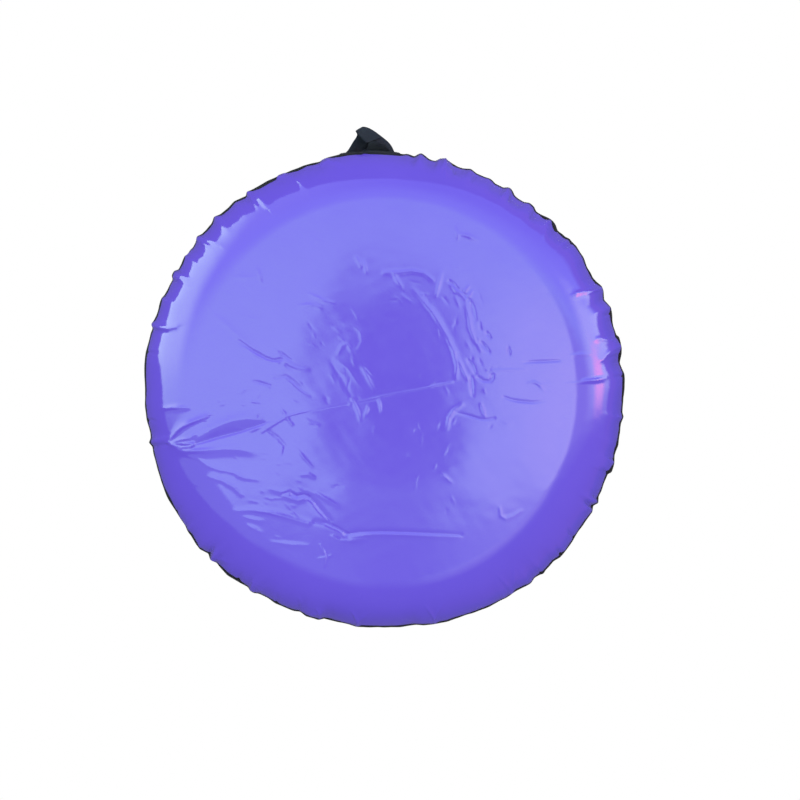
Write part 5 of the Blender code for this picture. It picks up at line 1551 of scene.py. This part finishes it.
for handle_side, handle_sign in (("left", 1), ("right", -1)):
    pivot = np.array(joint_places[f"handle_{handle_side}_swing"])
    away_way = np.array([handle_sign * sin(crest_out_angle), 0, -cos(crest_out_angle)])
    up_way = np.array([handle_sign * cos(crest_out_angle), 0, sin(crest_out_angle)])
    side_way = np.array([0, 1.0, 0])
    middle_turn = 0.0 if handle_sign > 0 else pi
    foot_turns = {end: middle_turn + end * handle_sign * handle_foot_turn for end in (-1, 1)}

    handle_runs = []
    for end, foot_turn in foot_turns.items():
        place = "front" if end < 0 else "back"
        patch_box = (foot_turn - handle_patch_half_turn, foot_turn + handle_patch_half_turn,
                     handle_patch_low, handle_patch_high)
        patch = sewn_on_patch(f"handle_{handle_side}_pad_{place}", *patch_box, patch_lift)
        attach(patch, "tube")
        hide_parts(f"handle_{handle_side}_patch_{place}")
        handle_runs.append(patch_border(*patch_box, patch_lift + 0.0002))
        foot_radius_here = ring_radius + section_radius * cos(crest_out_angle)
        half_turn = (handle_webbing_wide / 2 - 0.003) / foot_radius_here
        low = handle_fold_angle + 0.006 / section_radius
        high = handle_fold_angle + (handle_foot_length - 0.003) / section_radius
        left, right = foot_turn - half_turn, foot_turn + half_turn
        box_corners = [(left, low), (right, low), (right, high), (left, high),
                       (left, low), (right, high), (right, low), (left, high)]
        handle_runs.append(cover_run(box_corners, 8, handle_foot_lift + handle_webbing_thick / 2 + 0.0001))
    handle_thread = stitches(f"handle_{handle_side}_stitches", handle_runs, handle_seam_pitch, handle_thread_width)
    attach(handle_thread, "tube")

    spread = np.linspace(-handle_webbing_wide / 2, handle_webbing_wide / 2, 15)
    sides = []
    for end in (-1, 1):
        lines = []
        for (side, reach, rolled), (ahead_side, ahead_reach) in zip(half_line, half_ahead):
            curve = max(rolled, 1e-3) / roll_size
            over = np.sin(curve * spread) / curve
            sink = -(1 - np.cos(curve * spread)) / curve + rolled * roll_size * roll_rise
            on_leg = min(max((reach - leg_start) / leg_length, 0), 1)
            rise = foot_rise * (1 - rolled) + leg_bow * sin(pi * on_leg)
            lines.append(pivot + side_way * (end * (side - over * ahead_reach))[:, None]
                         + away_way * (reach + over * ahead_side)[:, None] + up_way * (sink + rise)[:, None])
        for length in np.concatenate([[-0.0005], np.linspace(-0.0035, -handle_foot_length, 12)]):
            angle = handle_fold_angle - length / section_radius
            radius = ring_radius + section_radius * cos(angle)
            lines.append(np.array([cover_at(foot_turns[end] + end * handle_sign * over / radius, angle,
                                            handle_foot_lift) for over in spread]))
        sides.append(np.array(lines))
    # One run from the front foot through the grip to the back foot, with the turn at the fold eased
    strap_middle = np.concatenate([sides[0][::-1], sides[1][1:, ::-1]])
    for _ in range(4):
        eased = strap_middle.copy()
        eased[1:-1] = (strap_middle[:-2] + 2 * strap_middle[1:-1] + strap_middle[2:]) / 4
        strap_middle = eased
    strap = ribbon(f"handle_{handle_side}_strap", strap_middle, strip_away(strap_middle), handle_webbing_thick,
                   handle_webbing_wide)
    strap.data.materials.append(webbing)
    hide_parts(f"handle_{handle_side}_loop", f"handle_{handle_side}_end_front",
                f"handle_{handle_side}_end_back")
    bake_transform(strap)

    grip_turns = np.arange(grip_columns) * 2 * pi / grip_columns
    grip_along = np.linspace(-grip_half_length, grip_half_length, grip_rows)
    grip_along = np.concatenate([[-grip_half_length - grip_end_gap], grip_along, [grip_half_length + grip_end_gap]])
    share_along = np.clip(np.abs(grip_along) / grip_half_length, 0, 1)
    rounded = np.clip((share_along - grip_round_share) / (1 - grip_round_share), 0, 1) ** 2
    size_along = grip_size - grip_swell + grip_swell * (1 - share_along**4) - grip_round * rounded
    turn_grid, along_grid = np.meshgrid(grip_turns, grip_along)
    grip_wave = waves(turn_grid * 0.012, along_grid, seed=41 + handle_sign, count=12, shortest=0.008, longest=0.03)
    size_grid = size_along[:, None] + grip_wrinkle * grip_wave
    closing = np.abs((turn_grid - grip_seam_turn + pi) % (2 * pi) - pi)
    size_grid += lap_ridge * np.exp(-(closing / lap_ridge_turn) ** 2)
    size_grid -= lap_groove * np.exp(-((closing - lap_groove_at) / lap_groove_turn) ** 2)
    bound = np.clip((share_along[:, None] - binding_share_from) / 0.012, 0, 1)
    bound *= 1 - np.clip((share_along[:, None] - binding_share_to) / (1 - binding_share_to), 0, 1)
    size_grid += binding_thick * bound
    size_grid[[0, -1]] = grip_mouth
    grip_middle = pivot + away_way * grip_reach + up_way * grip_lift
    grip_points = (grip_middle + side_way * along_grid[..., None]
                   + away_way * (np.cos(turn_grid) * size_grid)[..., None]
                   + up_way * (np.sin(turn_grid) * size_grid)[..., None])
    grip = grid_piece(f"handle_{handle_side}_padding", grip_points, True, (turn_grid * grip_size, along_grid))
    grip.data.materials.append(grip_cloth)
    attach(grip, f"handle_{handle_side}")
    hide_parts(f"handle_{handle_side}_grip")

    grip_runs = []
    seam_along = np.linspace(-grip_half_length * 0.86, grip_half_length * 0.86, 30)
    for stitch_turn in (grip_seam_turn - seam_half_turn, grip_seam_turn + seam_half_turn):
        out = away_way * cos(stitch_turn) + up_way * sin(stitch_turn)
        line = [grip_middle + side_way * along + out * (grip_size + 0.0001) for along in seam_along]
        grip_runs.append((line, [out] * len(line)))
    ring_out = [away_way * cos(turn) + up_way * sin(turn) for turn in np.linspace(0, 2 * pi, 40)]
    for stitch_end in (-grip_binding_share, grip_binding_share):
        ring_middle = grip_middle + side_way * stitch_end * grip_half_length
        grip_runs.append(([ring_middle + out * (grip_size - 0.0001) for out in ring_out], ring_out))
    grip_thread = stitches(f"handle_{handle_side}_grip_stitches", grip_runs, handle_seam_pitch)
    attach(grip_thread, f"handle_{handle_side}")


# Slider and pull: cast metal, blackened. The slider runs on the teeth and closes them behind it, and
# its ribbed pull hangs from the bail and lies flat along the zip.
metal_dark = (0.050, 0.050, 0.055)
slider_turn = radians(139.2)
slider_long = 0.0112
slider_wide_front = 0.0092
slider_wide_back = 0.0066
slider_plate = 0.0012
slider_rise = 0.0007
pull_long = 0.0240
pull_wide = 0.0080
pull_thick = 0.0012
edge_round = 0.0003

gunmetal, gunmetal_shader, gunmetal_wires = new_material("blackened metal", metal_dark, roughness=0.34, metallic=0.9)
gunmetal_wires.dull(gunmetal_shader, gunmetal_wires.noise(500.0, 4.0), 0.24, 0.20)

slider_at = zip_point(slider_turn, 0.0, 0.0)
slider_along = np.array([-sin(slider_turn), cos(slider_turn), 0])
slider_out = zip_out(slider_turn)
slider_up = np.cross(slider_out, slider_along)
if slider_up[2] < 0:
    slider_up = -slider_up


def cast_plate(shell, outline, low, high, origin, ways):
    """Adds a flat plate with its outline in two of the given ways and its thickness in the third."""
    first, second, third = ways
    rims = []
    for level in (low, high):
        rims.append([shell.verts.new(origin + first * x + second * y + third * level) for x, y in outline])
    shell.faces.new(rims[0][::-1])
    shell.faces.new(rims[1])
    for index in range(len(outline)):
        after = (index + 1) % len(outline)
        shell.faces.new((rims[0][index], rims[0][after], rims[1][after], rims[1][index]))


def cast_piece(name, plates, edge=edge_round):
    """Rounded metal piece from plates given as (outline, low, high, origin, ways)."""
    shell = bmesh.new()
    for plate in plates:
        cast_plate(shell, *plate)
    bmesh.ops.recalc_face_normals(shell, faces=shell.faces)
    bmesh.ops.bevel(shell, geom=[e for e in shell.edges if e.calc_face_angle(0) > 0.6], offset=edge,
                    segments=2, profile=0.6, affect="EDGES", clamp_overlap=True)
    mesh = bpy.data.meshes.new(name)
    shell.to_mesh(mesh)
    shell.free()
    mesh.polygons.foreach_set("use_smooth", np.ones(len(mesh.polygons), bool))
    mesh.materials.append(gunmetal)
    return put(name, mesh)


slider_ways = (slider_along, slider_up, slider_out)
half_long = slider_long / 2


def both_sides(half_outline):
    """Outline that is the same on both sides of its long axis, from its half."""
    return half_outline + [(x, -y) for x, y in reversed(half_outline)]


shield = both_sides([(half_long, 0.0012), (half_long * 0.86, slider_wide_front / 2 - 0.0008),
                     (half_long * 0.45, slider_wide_front / 2), (-half_long * 0.2, slider_wide_back / 2 + 0.0007),
                     (-half_long, slider_wide_back / 2)])
slider_wedge = both_sides([(half_long * 0.9, 0.0010), (half_long * 0.2, 0.0007)])
slider_plates = [(shield, slider_rise, slider_rise + slider_plate, slider_at, slider_ways),
                 (shield, -0.0042, -0.0034, slider_at, slider_ways),
                 (slider_wedge, -0.0036, slider_rise + 0.0002, slider_at, slider_ways)]
bail_side = 0.0011
bail_arch = [(-0.0034, 0.0), (-0.0034, 0.0016), (-0.0026, 0.0024), (0.0026, 0.0024), (0.0036, 0.0016),
             (0.0036, 0.0), (0.0026, 0.0), (0.0024, 0.0011), (0.0018, 0.0015), (-0.0018, 0.0015),
             (-0.0024, 0.0011), (-0.0024, 0.0)]
bail_origin = slider_at + slider_out * (slider_rise + slider_plate - 0.0002)
slider_plates.append((bail_arch, -bail_side, bail_side, bail_origin, (slider_along, slider_out, slider_up)))
slider = cast_piece("slider_body", slider_plates, 0.00022)
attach(slider, "slider")
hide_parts("zip_slider")

pull_at = np.array(joint_places["zip_pull_flip"])
pull_ways = (-slider_along, slider_up, slider_out)
window_far = 0.0054
half_thick = pull_thick / 2
rib_pitch = 0.0018
rib_start = 0.0105
# Flat pieces of the pull, each as its outline, its underside and its top: tab, arms, bar and ribs
tab = [(window_far, -pull_wide * 0.36), (window_far + 0.0030, -pull_wide / 2), (pull_long - 0.004, -pull_wide * 0.44),
       (pull_long - 0.0012, -pull_wide * 0.34), (pull_long, -pull_wide * 0.14)]
pull_shapes = [(both_sides(tab), -half_thick, half_thick)]
for arm_side in (-1, 1):
    arm = [(-0.0006, arm_side * 0.0014), (-0.0006, arm_side * 0.0028),
           (window_far + 0.0004, arm_side * 0.0030), (window_far + 0.0004, arm_side * 0.0014)]
    pull_shapes.append((arm, -half_thick, half_thick))
bar = [(-0.0010, -0.0028), (-0.0010, 0.0028), (0.0003, 0.0028), (0.0003, -0.0028)]
pull_shapes.append((bar, -half_thick, half_thick))
for rib in range(6):
    near, far = rib_start + rib * rib_pitch, rib_start + rib * rib_pitch + 0.0008
    pull_shapes.append(([(near, -0.0026), (far, -0.0026), (far, 0.0026), (near, 0.0026)],
                        half_thick - 0.0002, half_thick + 0.0004))
pull_plates = [(*shape, pull_at, pull_ways) for shape in pull_shapes]
pull = cast_piece("pull_tab", pull_plates, 0.0002)
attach(pull, "pull")
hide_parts("zip_pull")


# Zip ends: a cloth patch over each end of the zip, sewn down with two squares of stitches, which
# holds the tapes and their stops to the cover.
zip_end_half_turn = 0.030
zip_end_low, zip_end_high = radians(11.5), radians(29.0)
zip_end_lift = 0.0014
zip_end_runs = []
for end_name, end_turn in (("left", radians(37.3)), ("right", radians(142.7))):
    end_box = (end_turn - zip_end_half_turn, end_turn + zip_end_half_turn, zip_end_low, zip_end_high)
    end_patch = sewn_on_patch(f"zip_end_{end_name}", *end_box, zip_end_lift)
    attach(end_patch, "tube")
    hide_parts(f"zip_end_patch_{end_name}")
    zip_end_runs.append(patch_border(*end_box, zip_end_lift + 0.0002))
    zip_end_runs.append(patch_border(*end_box, zip_end_lift + 0.0002, margin=0.0062))
zip_end_thread = stitches("zip_end_stitches", zip_end_runs, patch_pitch)
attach(zip_end_thread, "tube")
